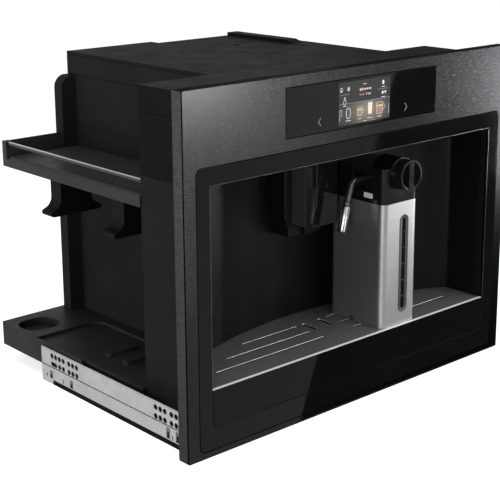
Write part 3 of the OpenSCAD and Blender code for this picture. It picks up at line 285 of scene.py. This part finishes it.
# ---------------------------------------------------------------- materials of their own
def fascia_material():
    """Black steel. The folded side returns are painted lighter, a painted highlight for the light they
    catch, with a dark seam along the front edge.
    """
    t = metal("black_brushed_steel", 0.0187, 0.0352, 0.24, brush=(330, 330, 1400), aniso=0.15,
              strength=0.25, depth=0.000016, spread=0.05)
    t.set(Specular_Tint=grey(0.03))  # keeps faces dark that are seen nearly edge on
    side = t.above(t.absolute(t.normal()[0]), 0.7)
    front = t.below(t.position()[1], FRONT_Y + 0.0024)
    # painted highlight: the side returns are painted lighter than the front
    t.paint(side, t.between(t.tone, *TONE_SPAN, (0.055, 0.055, 0.056), (0.076, 0.076, 0.077)))
    t.paint(t.both(side, front), grey(0.002))
    return t


def drawer_material():
    """The touch glass of the drawer, with a painted highlight, a white line, along its cut upper edge."""
    t = glass("drawer_black_glass", 0.0020, spec=0.095)
    cut_edge = t.both(t.above(t.normal()[2], 0.7), t.above(t.position()[2], 0.0855))
    # painted highlight: the upward faces of the cut edge are painted white
    t.paint(cut_edge, (0.78, 0.79, 0.80))
    return t


def spout_material():
    """Glossy black front, with its sides painted lighter as a painted sheen."""
    t = glass("spout_gloss_black", 0.003, spec=0.3, rough=0.08, edge=0.0022)
    painted_sheen = t.between(t.noise(1600, 2, 0.6), 0.3, 0.7, (0.026, 0.026, 0.027), (0.034, 0.034, 0.035))
    # painted sheen: the sides are painted lighter than the front
    t.paint(t.above(t.absolute(t.normal()[0]), 0.8), painted_sheen)
    return t


def window_material():
    """Dark clear insert, whose raised level marks are a little lighter."""
    t = glass("level_window", 0.0030, spec=0.30, rough=0.05)
    marks = t.below(t.position()[1], FRONT_Y + 0.00515)
    t.paint(marks, (0.045, 0.045, 0.046))
    return t


def rail_material():
    """Zinc sheet with a fine spangle, a dull line below its upper edge and a near-black line of painted
    shadow along a crease.
    """
    t = metal("zinc_rail", 0.35, 0.41, 0.46, brush=(180, 180, 220), aniso=0, strength=0.15, cloud=14)
    z, face = t.position()[2], t.above(t.absolute(t.normal()[0]), 0.5)
    dull, crease_shade = t.near(z, 0.0493, 0.0003), t.near(z, 0.0255, 0.0008)
    t.paint(t.both(dull, face), grey(0.22))
    # painted shadow: the crease line is painted near black
    t.paint(t.both(crease_shade, face), grey(0.006))
    return t


def rod_material():
    """Satin rod: bright along its upper side, dull below, where the shelf shades it."""
    t = metal("rod_satin", 0.42, 0.50, 0.30, brush=(500, 60, 500), aniso=0, strength=0.08,
              depth=0.00001, spread=0.04)
    lit = t.remap(t.normal()[2], 0.45, 0.95, 0, 1)
    t.set(Base_Color=t.mix(lit, (0.05, 0.05, 0.052), t.base()))
    return t


def tray_material():
    """Matt dark plate. Its slot walls are painted dark, a painted shade inside the slots, and their upper
    arris and front edge are painted bright, a painted highlight.
    """
    t = metal("tray_steel", 0.115, 0.160, 0.46, brush=(140, 900, 140), aniso=0, strength=0.25,
              cloud=6, metallic=0.45)
    pos = t.position()
    wall = t.below(t.absolute(t.normal()[2]), 0.6)
    arris, front = t.above(pos[2], 0.0852), t.below(pos[1], FRONT_Y + 0.006)
    # painted shade: the slot walls are painted dark
    t.paint(wall, grey(0.012))
    # painted highlight: the walls' upper arris and the front edge are painted bright
    t.paint(t.both(wall, t.either(arris, front)), (0.72, 0.73, 0.74))
    return t


def screen_material():
    """The lit panel: a dim grey field with a warm glow behind the middle drinks."""
    glow_x, glow_z, reach_x, reach_z, glow_top = 6.0, 398.0, 30.0, 15.0, 409.0  # millimetres
    t = Material("screen_panel")
    pos = t.position()
    x, z = t.math("MULTIPLY", pos[0], MM), t.math("MULTIPLY", pos[2], MM)
    dx = t.math("DIVIDE", t.math("SUBTRACT", x, glow_x), reach_x)
    dz = t.math("DIVIDE", t.math("SUBTRACT", z, glow_z), reach_z)
    r2 = t.math("ADD", t.both(dx, dx), t.both(dz, dz))
    warm = t.both(t.math("POWER", 2.718, t.math("MULTIPLY", r2, -1.0)), t.below(z, glow_top))
    pixel = t.noise(2500, 1, 0.5)
    field = t.between(pixel, 0.3, 0.7, (0.034, 0.035, 0.037), (0.041, 0.042, 0.044))
    t.set(Emission_Color=t.mix(warm, field, (0.30, 0.25, 0.185)), Emission_Strength=1.0,
          Base_Color=t.mix(pixel, grey(0.004), grey(0.006)),
          Roughness=0.12, Specular_IOR_Level=0.15)
    return t


# ---------------------------------------------------------------- materials of the CAD nodes
CHROME = metal("tip_chrome", 0.28, 0.32, 0.19, brush=(700, 700, 60), aniso=0, strength=0.04,
               depth=0.00001, spread=0.02)
PIPE = plastic("pipe_plastic", 0.010, 0.015, 0.16, spec=0.6, strength=0.06, spread=0.03)

MATERIALS = (
    (fascia_material(), "fascia_frame"),
    (plastic("housing_plastic", 0.0052, 0.0072, 0.50, spec=0.03), "front_housing"),
    (plastic("housing_upper_plastic", 0.0050, 0.0070, 0.50, spec=0.008), "housing_band housing_cap"),
    (plastic("painted_panel", 0.0085, 0.0120, 0.46, spec=0.010, grain=2600, strength=0.2, cloud=5),
     "top_cover rear_panel left_side_panel right_side_panel"),
    (plastic("painted_top", 0.0085, 0.0125, 0.5, spec=0.004, grain=2400, strength=0.25, cloud=4),
     "top_lid bean_flap"),
    (plastic("base_plastic", 0.012, 0.017, 0.48, spec=0.06, grain=1500, strength=0.4), "base_pan"),
    (plastic("shelf_plastic", 0.015, 0.021, 0.45, spec=0.08, grain=1700, strength=0.35), "side_shelf"),
    (plastic("hook_plastic", 0.003, 0.0045, 0.44, spec=0.03), "cord_hook_front cord_hook_rear"),
    (glass("bezel_black_glass", 0.0020, spec=0.12), "bezel_glass"),
    (glass("touch_black_glass", 0.0020, spec=0.21, rough=0.03), "display_glass"),
    (spout_material(), "spout_block"),
    (drawer_material(), "drawer_front"),
    (plastic("carrier_plastic", 0.004, 0.006, 0.5, spec=0.1), "bezel_carrier"),
    (plastic("niche_liner_plastic", 0.0026, 0.0042, 0.34, spec=0.13, grain=2200, strength=0.2, cloud=4),
     "niche_liner"),
    (plastic("column_plastic", 0.0030, 0.0050, 0.34, spec=0.08, grain=2200, strength=0.2),
     "spout_column spout_pipe_cover milk_dock"),
    (plastic("tub_plastic", 0.010, 0.014, 0.5), "drip_tub grounds_carrier grounds_box"),
    (tray_material(), "tray_plate"),
    (metal("zinc_inner", 0.30, 0.38, 0.42, brush=(220, 220, 260), aniso=0),
     "rail_middle_channels rail_inner_channels mounting_frame rear_screws"),
    (rail_material(), "rail_bracket_left rail_bracket_right"),
    (plastic("foot_rubber", 0.003, 0.0045, 0.6, spec=0.02), "rail_foot_strips"),
    (CHROME, "milk_tip spout_nozzles"),
    (rod_material(), "shelf_rod"),
    (metal("jug_brushed_steel", 0.36, 0.42, 0.34, brush=(60, 60, 1500), aniso=0.3, strength=0.1,
           depth=0.000012, spread=0.03, cloud=3, metallic=0.9), "jug_sleeve"),
    (plastic("jug_inner_plastic", 0.05, 0.065, 0.35, spec=0.4), "jug_container"),
    (window_material(), "jug_window"),
    (plastic("jug_lid_plastic", 0.0030, 0.0050, 0.17, spec=0.42, grain=2600, strength=0.1,
             spread=0.04, edge=0.0016), "jug_lid"),
    (plastic("knob_plastic", 0.004, 0.006, 0.16, spec=0.4, grain=2600, strength=0.1,
             spread=0.04, edge=0.001), "froth_knob"),
    (PIPE, "milk_pipe"),
    (plastic("module_plastic", 0.012, 0.018, 0.5), "display_module"),
    (plastic("board_lacquer", 0.022, 0.03, 0.3, spec=0.5, tint=(0.4, 2.2, 0.9)), "control_board"),
    (clear("smoked_clear", (0.28, 0.28, 0.3), 0.08), "bean_hopper"),
    (clear("tank_clear", (0.78, 0.83, 0.88), 0.06), "water_tank"),
    (plastic("tank_cover_plastic", 0.012, 0.016, 0.42), "tank_cover"),
    (metal("motor_casting", 0.22, 0.3, 0.5, brush=(300, 300, 300), aniso=0), "grinder"),
    (metal("burr_steel", 0.45, 0.55, 0.28, brush=(90, 90, 700), aniso=0), "grinder_burr"),
    (plastic("brew_frame_plastic", 0.045, 0.06, 0.5), "brew_frame"),
    (metal("piston_grey", 0.35, 0.42, 0.35, brush=(300, 300, 300), aniso=0), "brew_piston"),
    (metal("heater_casting", 0.42, 0.5, 0.5, brush=(260, 260, 260), aniso=0), "thermoblock"),
    (plastic("pump_plastic", 0.10, 0.14, 0.45, tint=(1.5, 1.0, 0.6)), "water_pump"),
    (plastic("inlet_plastic", 0.010, 0.014, 0.4), "power_inlet switch_frame"),
    (plastic("rocker_plastic", 0.012, 0.017, 0.3, spec=0.4), "rocker_switch"),
)
material_of = {name: t.mat for t, names in MATERIALS for name in names.split()}
for name, obj in nodes.items():
    if not obj.material_slots:
        obj.data.materials.append(material_of[name])
    for s in obj.material_slots:
        s.material = material_of[name]


# ---------------------------------------------------------------- meshes
def add(name, data):
    o = bpy.data.objects.new(name, data)
    scene.collection.objects.link(o)
    return o


def add_mesh(name, bm, mat):
    me = bpy.data.meshes.new(name)
    bm.to_mesh(me)
    bm.free()
    me.materials.append(mat)
    return add(name, me)


def piece(name, bm, material, body):
    bmesh.ops.recalc_face_normals(bm, faces=bm.faces)
    o = add_mesh(name, bm, material.mat)
    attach(o, body)
    return o


def prism(bm, near, far):
    """A solid between two outlines of equally many points."""
    near, far = [bm.verts.new(p) for p in near], [bm.verts.new(p) for p in far]
    bm.faces.new(near)
    bm.faces.new(list(reversed(far)))
    for i in range(len(near)):
        j = (i + 1) % len(near)
        bm.faces.new([near[i], far[i], far[j], near[j]])


def hoop(bm, sections):
    """A solid ring through closed sections of equally many points."""
    sections = [[bm.verts.new(p) for p in section] for section in sections]
    for i, here in enumerate(sections):
        after = sections[(i + 1) % len(sections)]
        for k in range(len(here)):
            m = (k + 1) % len(here)
            bm.faces.new([here[k], here[m], after[m], after[k]])


def slab(bm, outline, y0, y1):
    """A flat outline of (x, z) points, solid from depth y0 to y1."""
    prism(bm, *([P(x, y, z) for x, z in outline] for y in (y0, y1)))


def ribbon(bm, line, w, y0, y1, closed=False):
    """A stroke of width w along a line of (x, z) points."""
    pts = [Vector(p) for p in line]
    n = len(pts)
    left, right = [], []
    for i, p in enumerate(pts):
        if closed:
            d1, d2 = (p - pts[i - 1]).normalized(), (pts[(i + 1) % n] - p).normalized()
        else:
            d1 = (p - pts[i - 1]).normalized() if i else (pts[1] - p).normalized()
            d2 = (pts[i + 1] - p).normalized() if i < n - 1 else d1
        d = (d1 + d2).normalized()
        nrm = Vector((-d.y, d.x))
        k = w / 2 / max(0.5, nrm.dot(Vector((-d1.y, d1.x))))
        left.append(p + nrm * k)
        right.append(p - nrm * k)
    for i in range(n if closed else n - 1):
        j = (i + 1) % n
        slab(bm, [left[i], left[j], right[j], right[i]], y0, y1)


def circle(n):
    """Cosine and sine of n even turns."""
    turns = [2 * math.pi * i / n for i in range(n)]
    return [(math.cos(a), math.sin(a)) for a in turns]


def round_rect(x0, z0, x1, z1, r, n=6):
    out = []
    corners = ((x1 - r, z0 + r, -90), (x1 - r, z1 - r, 0), (x0 + r, z1 - r, 90), (x0 + r, z0 + r, 180))
    for cx, cz, start in corners:
        for i in range(n + 1):
            a = math.radians(start + 90 * i / n)
            out.append((cx + r * math.cos(a), cz + r * math.sin(a)))
    return out


def ring_line(cx, cz, rx, rz, n=20, a0=0, a1=360):
    """An ellipse, or its arc from a0 to a1 degrees."""
    count = n if a1 - a0 == 360 else n + 1
    turns = [math.radians(a0 + (a1 - a0) * i / n) for i in range(count)]
    return [(cx + rx * math.cos(a), cz + rz * math.sin(a)) for a in turns]


# ---------------------------------------------------------------- the screen
WHITE_INK = glow("icon_white", (0.70, 0.71, 0.73))
GREY_INK = glow("icon_grey", (0.33, 0.33, 0.34))
AMBER_INK = glow("icon_amber", (0.95, 0.42, 0.12))
COFFEE_INK = glow("icon_coffee", (0.20, 0.085, 0.035))
CREAM_INK = glow("icon_cream", (0.95, 0.72, 0.45))
# The lit pictures stand a hair proud of the touch glass, and the drinks' lines proud of their filling.
GLASS_AT, PANEL_AT, LINES_AT = 0.0, -0.04, -0.08
FILLING_AT = LINES_AT * 0.8
LINE_W = 0.5


def stroke(bm, points, w=LINE_W, closed=False, at=LINES_AT):
    ribbon(bm, points, w, at, GLASS_AT, closed)


def filled(bm, outline, at=LINES_AT):
    slab(bm, outline, at, GLASS_AT)


def cup(bm, x, z, w, h, handle, taper=0.86):
    """A glass cup: its sides, its foot, its rim and a handle of that reach on its right."""
    foot = w * taper / 2
    stroke(bm, [(x - w / 2, z + h), (x - foot, z), (x + foot, z), (x + w / 2, z + h)])
    stroke(bm, ring_line(x, z + h, w / 2, 0.9, 16), LINE_W * 0.6, True)
    if handle:
        stroke(bm, ring_line(x + w / 2 - 0.4, z + h * 0.58, handle, h * 0.27, 10, -80, 80))


def on_screen(name, bm, ink):
    piece(name, bm, ink, "machine")


bm = bmesh.new()
filled(bm, round_rect(-47.5, 382.3, 47.5, 437.0, 0.6), PANEL_AT)
on_screen("screen_lit_panel", bm, screen_material())

# arrows on the glass, one on each side of the panel
bm = bmesh.new()
for x, s in ((-81, 1), (79, -1)):
    stroke(bm, [(x + s * 2.2, 397.6), (x - s * 2.2, 392.4), (x + s * 2.2, 387.2)])
on_screen("screen_chevrons", bm, GREY_INK)

# a row of drinks: milk jug, small cup, glass, large cup, and the cut ends of their neighbours
bm = bmesh.new()
cup(bm, -30.0, 391.0, 7.0, 11.5, 0)
stroke(bm, ring_line(-30.0, 397.0, 4.4, 7.4, 18), 0.35, True)
cup(bm, -9.5, 391.5, 8.4, 10.5, 3.2)
cup(bm, 10.0, 391.5, 8.0, 15.0, 0, taper=0.75)
cup(bm, 28.0, 389.8, 12.0, 14.5, 4.0)
stroke(bm, [(-45.5, 387.5), (-45.5, 402.0), (-41.8, 402.0), (-41.8, 395.0), (-43.6, 394.4)])
stroke(bm, [(45.3, 388.0), (45.3, 401.5)], 0.4)
on_screen("screen_cup_outlines", bm, WHITE_INK)

# what the cups hold
bm = bmesh.new()
filled(bm, [(-12.6, 392.3), (-6.4, 392.3), (-5.7, 398.3), (-13.3, 398.3)], FILLING_AT)
filled(bm, [(23.0, 390.6), (33.0, 390.6), (33.5, 399.5), (22.5, 399.5)], FILLING_AT)
on_screen("screen_drinks_dark", bm, COFFEE_INK)

# their crema, and the amber marks of the status row
bm = bmesh.new()
filled(bm, [(-13.3, 398.3), (-5.7, 398.3), (-5.5, 399.9), (-13.5, 399.9)], FILLING_AT)
filled(bm, [(22.5, 399.5), (33.5, 399.5), (33.6, 401.2), (22.4, 401.2)], FILLING_AT)
for i in range(2):
    filled(bm, ring_line(-8.6 + i * 3.2, 424.9, 1.35, 1.9, 10))
filled(bm, [(1.6, 419.6), (4.6, 419.6), (3.1, 416.6)])
on_screen("screen_amber_marks", bm, AMBER_INK)

bm = bmesh.new()
filled(bm, [(7.0, 392.3), (13.0, 392.3), (13.7, 402.6), (6.3, 402.6)], FILLING_AT)
on_screen("screen_drink_milk", bm, CREAM_INK)

bm = bmesh.new()
filled(bm, [(6.2, 402.8), (13.8, 402.8), (14.0, 406.2), (6.0, 406.2)], FILLING_AT)
on_screen("screen_milk_foam", bm, WHITE_INK)

# small status marks, and plain dashes where the real screen has words: centre and width of each
DASHES = ((-0.6, 431.4, 6.4), (-30.0, 387.4, 9.0), (-9.5, 387.4, 6.2), (10.0, 386.6, 9.6),
          (28.0, 386.4, 8.6), (34.2, 424.2, 7.0), (34.6, 410.9, 7.6), (-36.8, 406.8, 6.4),
          (0.4, 383.4, 4.0))
bm = bmesh.new()
for x in (-43.0, -30.0):
    stroke(bm, ring_line(x, 427.8, 2.2, 2.4, 14), 0.6, True)
filled(bm, ring_line(-30.0, 427.8, 1.0, 1.6, 10))
filled(bm, [(-44.6, 426.8), (-41.4, 426.8), (-42.0, 424.6), (-44.0, 424.6)])
stroke(bm, ring_line(-36.8, 416.2, 1.5, 1.5, 10), 0.7, True)
stroke(bm, ring_line(-36.8, 411.6, 2.8, 2.4, 12), 0.55, True)
filled(bm, ring_line(34.2, 430.0, 2.0, 2.9, 14))
filled(bm, round_rect(31.6, 415.0, 35.0, 418.6, 0.6))
filled(bm, [(36.2, 418.4), (40.4, 418.4), (38.3, 414.4)])
for i in range(5):
    filled(bm, ring_line(-1.8 + i * 3.1, 424.9, 1.0, 1.4, 8))
for i in range(3):
    filled(bm, [(-9.6 + i * 3.4, 419.0), (-8.4 + i * 3.4, 419.0), (-9.0 + i * 3.4, 416.9)])
for x0, x1 in ((6.6, 8.0), (9.4, 10.4)):
    filled(bm, round_rect(x0, 416.8, x1, 419.4, 0.3))
for x, z, w in DASHES:
    filled(bm, round_rect(x - w / 2, z - 0.4, x + w / 2, z + 0.4, 0.35))
on_screen("screen_status_marks", bm, WHITE_INK)

# rules between the screen's fields: both ends and height of each
bm = bmesh.new()
for x0, x1, z in ((-46.5, -27.5, 421.2), (24.0, 44.0, 421.6), (-47.0, 47.0, 409.4), (-13.0, 22.0, 383.3)):
    stroke(bm, [(x0, z), (x1, z)], 0.35, at=FILLING_AT)
on_screen("screen_rules", bm, GREY_INK)

# ---------------------------------------------------------------- label, arris and joints
# light label on the lid's left side, left plain
LABEL_X = (45.75, 46.0)
bm = bmesh.new()
prism(bm, *([P(x, y, z) for y, z in round_rect(25.6, 267.4, 41.4, 274.4, 0.8)] for x in LABEL_X))
piece("lid_plain_label", bm, plastic("label_light", 0.5, 0.6, 0.4, spec=0.4), "milk_jug")

LAID_ON = -0.06  # how far these two stand proud of the glass
# a painted highlight along the polished arris of the glass round the niche, laid on as a light strip
bm = bmesh.new()
ribbon(bm, [(-259.3, 88.0), (-259.3, 339.8), (259.3, 339.8), (259.3, 88.0)], 0.55, LAID_ON, GLASS_AT)
piece("niche_edge_highlight", bm, plastic("arris_highlight", 0.025, 0.075, 0.25, spec=0.3, cloud=30),
      "machine")

# shadow joints between the steel and the two panes: half width, foot, top and corner radius of each pane
PANES = ((138.0, 379.0, 440.5, 1.2), (279.5, 9.0, 362.0, 8.0))
OUT = 0.5  # the joint's middle lies this far outside the pane
bm = bmesh.new()
for x, z0, z1, r in PANES:
    middle = round_rect(-x - OUT, z0 - OUT, x + OUT, z1 + OUT, r + OUT, 8)
    ribbon(bm, middle, 1.3, LAID_ON, GLASS_AT, True)
piece("pane_joints", bm, plastic("joint_shadow", 0.0006, 0.0012, 0.7, spec=0.01),
      "machine")

# ---------------------------------------------------------------- rails
RAIL_X = 280.0  # outer face of the brackets
SUNK = 0.1      # how far the details on it reach into the sheet

# stamped tabs, each over a dark slot and a dark line at its foot, both dark sheets of painted shadow:
# depth and upper end of each
TABS = ((44, 23.0), (63, 23.0), (278, 19.6), (328, 19.6))
bm_tab, bm_shadow = bmesh.new(), bmesh.new()
for side in (-1, 1):
    for y, top in TABS:
        for bm, half, z0, z1, proud in ((bm_tab, 3.6, 9.0, top, 0.18),
                                        (bm_shadow, 1.7, 8.9, top - 5.5, 0.3),
                                        (bm_shadow, 4.0, 8.8, 9.6, 0.3)):
            outline = round_rect(-half, z0, half, z1, 0.35, 3)
            faces = (RAIL_X - SUNK, RAIL_X + proud)
            prism(bm, *([P(side * x, y + dy, z) for dy, z in outline] for x in faces))
piece("rail_tabs", bm_tab, metal("tab_zinc", 0.10, 0.15, 0.5, brush=(300, 300, 300), aniso=0),
      "cabinet_rails")
piece("rail_tab_shadows", bm_shadow, plastic("slot_shadow", 0.002, 0.004, 0.7, spec=0.02),
      "cabinet_rails")

# dimpled rims of the screw holes, as radius and height over the face. Their dark tone is painted shade in
# the dimples.
RIM = ((3.22, -SUNK), (3.22, 0.02), (3.5, 0.1), (3.85, 0.1), (3.95, 0.02), (3.95, -SUNK))
REAR_HOLE, HOLE_PITCH = 325, 9.4
HOLE_GROUPS = ((REAR_HOLE, 4), (283, 3), (88, 3), (56, 4))  # depth of the rear hole, holes in a row
UPPER_ROW, LOWER_ROW = 42.5, 30.5
bm = bmesh.new()
for side in (-1, 1):
    for rear, count in HOLE_GROUPS:
        for y in (rear - i * HOLE_PITCH for i in range(count)):
            # the two rear holes of the lower row are one slot, which has no rim
            for z in (UPPER_ROW,) if y >= REAR_HOLE - HOLE_PITCH else (UPPER_ROW, LOWER_ROW):
                hoop(bm, [[P(side * (RAIL_X + h), y + r * c, z + r * s) for r, h in RIM]
                          for c, s in circle(20)])
piece("rail_hole_rims", bm, metal("rim_zinc_painted_shade", 0.05, 0.09, 0.5, brush=(300, 300, 300), aniso=0),
      "cabinet_rails")

# ---------------------------------------------------------------- milk spout and level window
PIPE_LEAN = math.radians(19)
ELBOW = (32.0, 50.0, 291.0)


def on_arm(x, y, z):
    """A point of the leaning pipe, with z counted up along it from the elbow."""
    c, s = math.cos(PIPE_LEAN), math.sin(PIPE_LEAN)
    return P(ELBOW[0] + x * c + z * s, ELBOW[1] + y, ELBOW[2] - x * s + z * c)


# collar of the milk pipe above its tip, with a small wing to turn it by
COLLAR = ((4.55, -34.9), (5.6, -34.9), (5.9, -34.2), (5.9, -30.2), (5.5, -29.4), (5.0, -28.9),
          (4.55, -28.9))
WING = ((5.6, -33.6), (12.0, -32.2), (12.6, -31.6), (12.2, -30.9), (5.6, -30.4))
bm = bmesh.new()
hoop(bm, [[on_arm(r * c, r * s, z) for r, z in COLLAR] for c, s in circle(32)])
prism(bm, *([on_arm(x, y, z) for x, z in WING] for y in (-0.9, 0.9)))
piece("milk_pipe_collar", bm, PIPE, "milk_spout")

# seal round the level window, which slopes in to the clear insert: distance outwards and depth
WINDOW_X, WINDOW_Z, WINDOW_FLANK = 87.6, 172.9, 61.0  # its middle, and half of its straight sides
SEAL = ((8.8, 4.98), (8.7, 4.62), (8.0, 4.50), (7.2, 4.62), (4.1, 5.10), (3.6, 5.18), (3.6, 5.4),
        (6.0, 5.4), (6.9, 4.98))


def seal_section(c, s):
    """The seal's profile where it faces along (c, s)."""
    centre = WINDOW_Z + (math.copysign(WINDOW_FLANK, s) if abs(s) > 1e-6 else 0.0)
    return [P(WINDOW_X + out * c, y, centre + out * s) for out, y in SEAL]


bm = bmesh.new()
hoop(bm, [seal_section(c, s) for c, s in circle(64)])
rubber = plastic("seal_rubber", 0.020, 0.030, 0.34, spec=0.45, grain=2200, strength=0.15, edge=0.0004)
piece("window_seal", bm, rubber, "milk_jug")

# tip of the milk spout, a wide open tube that hangs a little steeper than the pipe: radius and way down
TIP_LEAN = math.radians(13)
TUBE = ((3.2, 0.0), (4.4, 0.0), (5.4, 0.35), (6.1, 1.0), (6.45, 2.0), (6.45, 35.2), (6.3, 36.0),
        (5.9, 36.3), (5.3, 36.2), (5.2, 35.6), (5.2, 6.0), (3.2, 4.0))
tip_top = on_arm(0, 0, -34.6)
tip_axis = Vector((-math.sin(TIP_LEAN), 0, -math.cos(TIP_LEAN)))
tip_side = Vector((math.cos(TIP_LEAN), 0, -math.sin(TIP_LEAN)))
tip_back = Vector((0, 1, 0))
bm = bmesh.new()
hoop(bm, [[tip_top + ((tip_side * c + tip_back * s) * r + tip_axis * d) / MM for r, d in TUBE]
          for c, s in circle(40)])
for f in bm.faces:
    f.smooth = True
tip = piece("milk_tip_tube", bm, CHROME, "milk_spout")
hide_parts("milk_tip")

# ---------------------------------------------------------------- floor
FLOOR_HALF, FLOOR_GAP = 9.0, 0.0005  # metres
FLOOR_PAINT, FLOOR_GLOW = 0.8, 0.6


def floor_material():
    """White to the camera, through clear parts and in reflections, and darkened by shadows."""
    m = bpy.data.materials.new("studio_floor_paint")
    m.use_nodes = True
    t = Nodes(m.node_tree)
    t.tree.nodes.clear()
    ray = t.node("ShaderNodeLightPath").outputs
    paint = t.node("ShaderNodeBsdfDiffuse")
    t.put(t.mix(t.noise(3, 2), grey(FLOOR_PAINT * 0.985), grey(FLOOR_PAINT)), paint.inputs["Color"])
    seen = t.node("ShaderNodeAddShader")
    t.link(paint.outputs[0], seen.inputs[0])
    t.link(t.white("ShaderNodeEmission", FLOOR_GLOW), seen.inputs[1])
    direct = t.either(ray["Is Camera Ray"], ray["Is Transmission Ray"])
    surface = t.mix_shaders(direct, paint.outputs[0], seen.outputs[0])
    surface = t.mix_shaders(ray["Is Glossy Ray"], surface, t.white("ShaderNodeEmission", 1.0))
    t.link(surface, t.node("ShaderNodeOutputMaterial").inputs["Surface"])
    return m


foot_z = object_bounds()[0].z
bm = bmesh.new()
bm.faces.new([bm.verts.new((x * FLOOR_HALF, y * FLOOR_HALF, foot_z - FLOOR_GAP))
              for x, y in ((-1, -1), (1, -1), (1, 1), (-1, 1))])
add_mesh("studio_floor", bm, floor_material())

# ---------------------------------------------------------------- cards
CARD_LIFT = 0.4       # a card that lies down is this far over the floor
FAN_AT = (50, -3)     # a point on the floor before the jug, where the fan of cards starts
FAN_REACH = 3500


def card(name, corners, shade):
    """A glowing card that is seen in reflections alone."""
    bm = bmesh.new()
    bm.faces.new([bm.verts.new(P(*c)) for c in corners])
    t = Material(name + "_paint")
    t.set(Emission_Color=t.mix(t.noise(2), grey(0.95), grey(1)), Emission_Strength=shade,
          Base_Color=grey(0), Specular_IOR_Level=0.0)
    o = add_mesh(name, bm, t.mat)
    for ray in ("camera", "diffuse", "transmission", "volume_scatter", "shadow"):
        setattr(o, "visible_" + ray, False)


def floor_card(name, corners, shade):
    card(name, [(x, y, foot_z * MM + CARD_LIFT) for x, y in corners], shade)


def upright_card(name, a, b, top, shade):
    card(name, [(*a, 0), (*b, 0), (*b, top), (*a, top)], shade)


def fan_point(angle, reach):
    """The floor point that far from FAN_AT. The angle in degrees counts from the front to the right."""
    a = math.radians(angle)
    return FAN_AT[0] + reach * math.sin(a), FAN_AT[1] - reach * math.cos(a)


def mirror_edge(angle):
    """How far the front plane mirrors the floor that way, and 20 mm more."""
    a = math.radians(angle)
    return 20 + 348 / (0.794 * math.cos(a) - math.sin(a))


# Its straight edge gives the soft boundary that crosses the black glass in the photograph.
floor_card("card_front_right", ((-110, -3), (3700, -3150), (3700, -3)), 0.07)
# These grade the rounded corners of the jug and its lid, from the left to the front. Each starts
# beyond the part of the floor that the front plane mirrors.
for i, (a0, a1, shade) in enumerate(((-96, -56, 0.20), (-56, -40, 0.50), (-40, -2, 0.20))):
    floor_card(f"card_front_left_{i}", (fan_point(a0, mirror_edge(a0)), fan_point(a0, FAN_REACH),
                                        fan_point(a1, FAN_REACH), fan_point(a1, mirror_edge(a1))), shade)
STRIP = ((-30, 640), (-30, 1500), (-25, 1500), (-25, 640))
floor_card("card_strip", [fan_point(angle, reach) for angle, reach in STRIP], 5)
# It stands in the plane of the mirrored camera, so the glass shows it edge on, and it darkens
# the corners alone.
upright_card("card_corner", (35.2, -35.9), (705, -663), 330, 0.20)
upright_card("card_back_right", (2100, 2100), (3000, 0), 3000, 0.35)

# ---------------------------------------------------------------- light
WORLD_LIGHT, WORLD_SEEN = 0.5, 1.0
world = bpy.data.worlds.new("studio_world")
scene.world = world
world.use_nodes = True
t = Nodes(world.node_tree)
t.tree.nodes.clear()
ray = t.node("ShaderNodeLightPath").outputs
seen = t.either(t.either(ray["Is Camera Ray"], ray["Is Glossy Ray"]), ray["Is Transmission Ray"])
sky = t.mix_shaders(seen, t.white("ShaderNodeBackground", WORLD_LIGHT),
                    t.white("ShaderNodeBackground", WORLD_SEEN))
t.link(sky, t.node("ShaderNodeOutputWorld").inputs["Surface"])

LAMPS = (  # name, place and aim in millimetres, width and height in metres, watts
    ("key_left", (983, -1620, 231), (-298, 0, 455), 0.20, 0.20, 7.5),
    ("key_right", (1110, -560, 195), (298, 0, 300), 0.06, 0.33, 7),
    ("niche_right", (60, -640, 120), (210, 60, 280), 0.1, 0.3, 0.8),
    ("mid_soft", (1886, -1620, 532), (60, 0, 400), 0.4, 0.3, 5),
    ("front_soft", (900, -2300, 1500), (0, 0, 250), 1.4, 1.0, 30),
    ("front_strip", (-330, -2000, 520), (60, 0, 250), 0.12, 1.1, 4),
    ("fill_left", (-1900, -1300, 330), (40, 60, 180), 0.5, 0.9, 18),
    ("left_low", (-1500, 520, 250), (-150, 220, 170), 0.8, 0.3, 11),
    ("left_soft", (-2100, 300, 1100), (-280, 200, 200), 1.0, 1.0, 2.5),
    ("top_soft", (-500, 0, 1900), (-250, 100, 400), 1.2, 1.2, 13),
)
for name, at, aim, w, h, watts in LAMPS:
    lamp = bpy.data.lights.new(name, "AREA")
    lamp.shape = "RECTANGLE"
    lamp.size, lamp.size_y = w, h
    lamp.energy = watts
    o = add(name, lamp)
    o.visible_camera = False
    o.location = P(*at)
    o.rotation_mode = "QUATERNION"
    o.rotation_quaternion = (P(*aim) - P(*at)).to_track_quat("-Z", "Y")

# ---------------------------------------------------------------- camera
CAMERA_AT = (-1150.464, -1073.13, 677.988)
YAW, PITCH, ROLL = 0.7263, -0.24905, -0.00616
FOCAL_PX, IMAGE_PX, SENSOR_MM = 1240.485, 500, 36
fw = Vector((math.sin(YAW) * math.cos(PITCH), math.cos(YAW) * math.cos(PITCH), math.sin(PITCH)))
rt = Vector((math.cos(YAW), -math.sin(YAW), 0))
up = rt.cross(fw)
rt, up = rt * math.cos(ROLL) + up * math.sin(ROLL), up * math.cos(ROLL) - rt * math.sin(ROLL)
cam_data = bpy.data.cameras.new("camera")
cam_data.sensor_width = SENSOR_MM
cam_data.lens = FOCAL_PX / IMAGE_PX * SENSOR_MM
cam_data.shift_x, cam_data.shift_y = 0.0, -0.1
cam_data.clip_start, cam_data.clip_end = 0.05, 60
cam = add("camera", cam_data)
m = Matrix((rt, up, -fw)).transposed().to_4x4()
m.translation = P(*CAMERA_AT)
cam.matrix_world = m
scene.camera = cam
scene.view_settings.view_transform = "Standard"
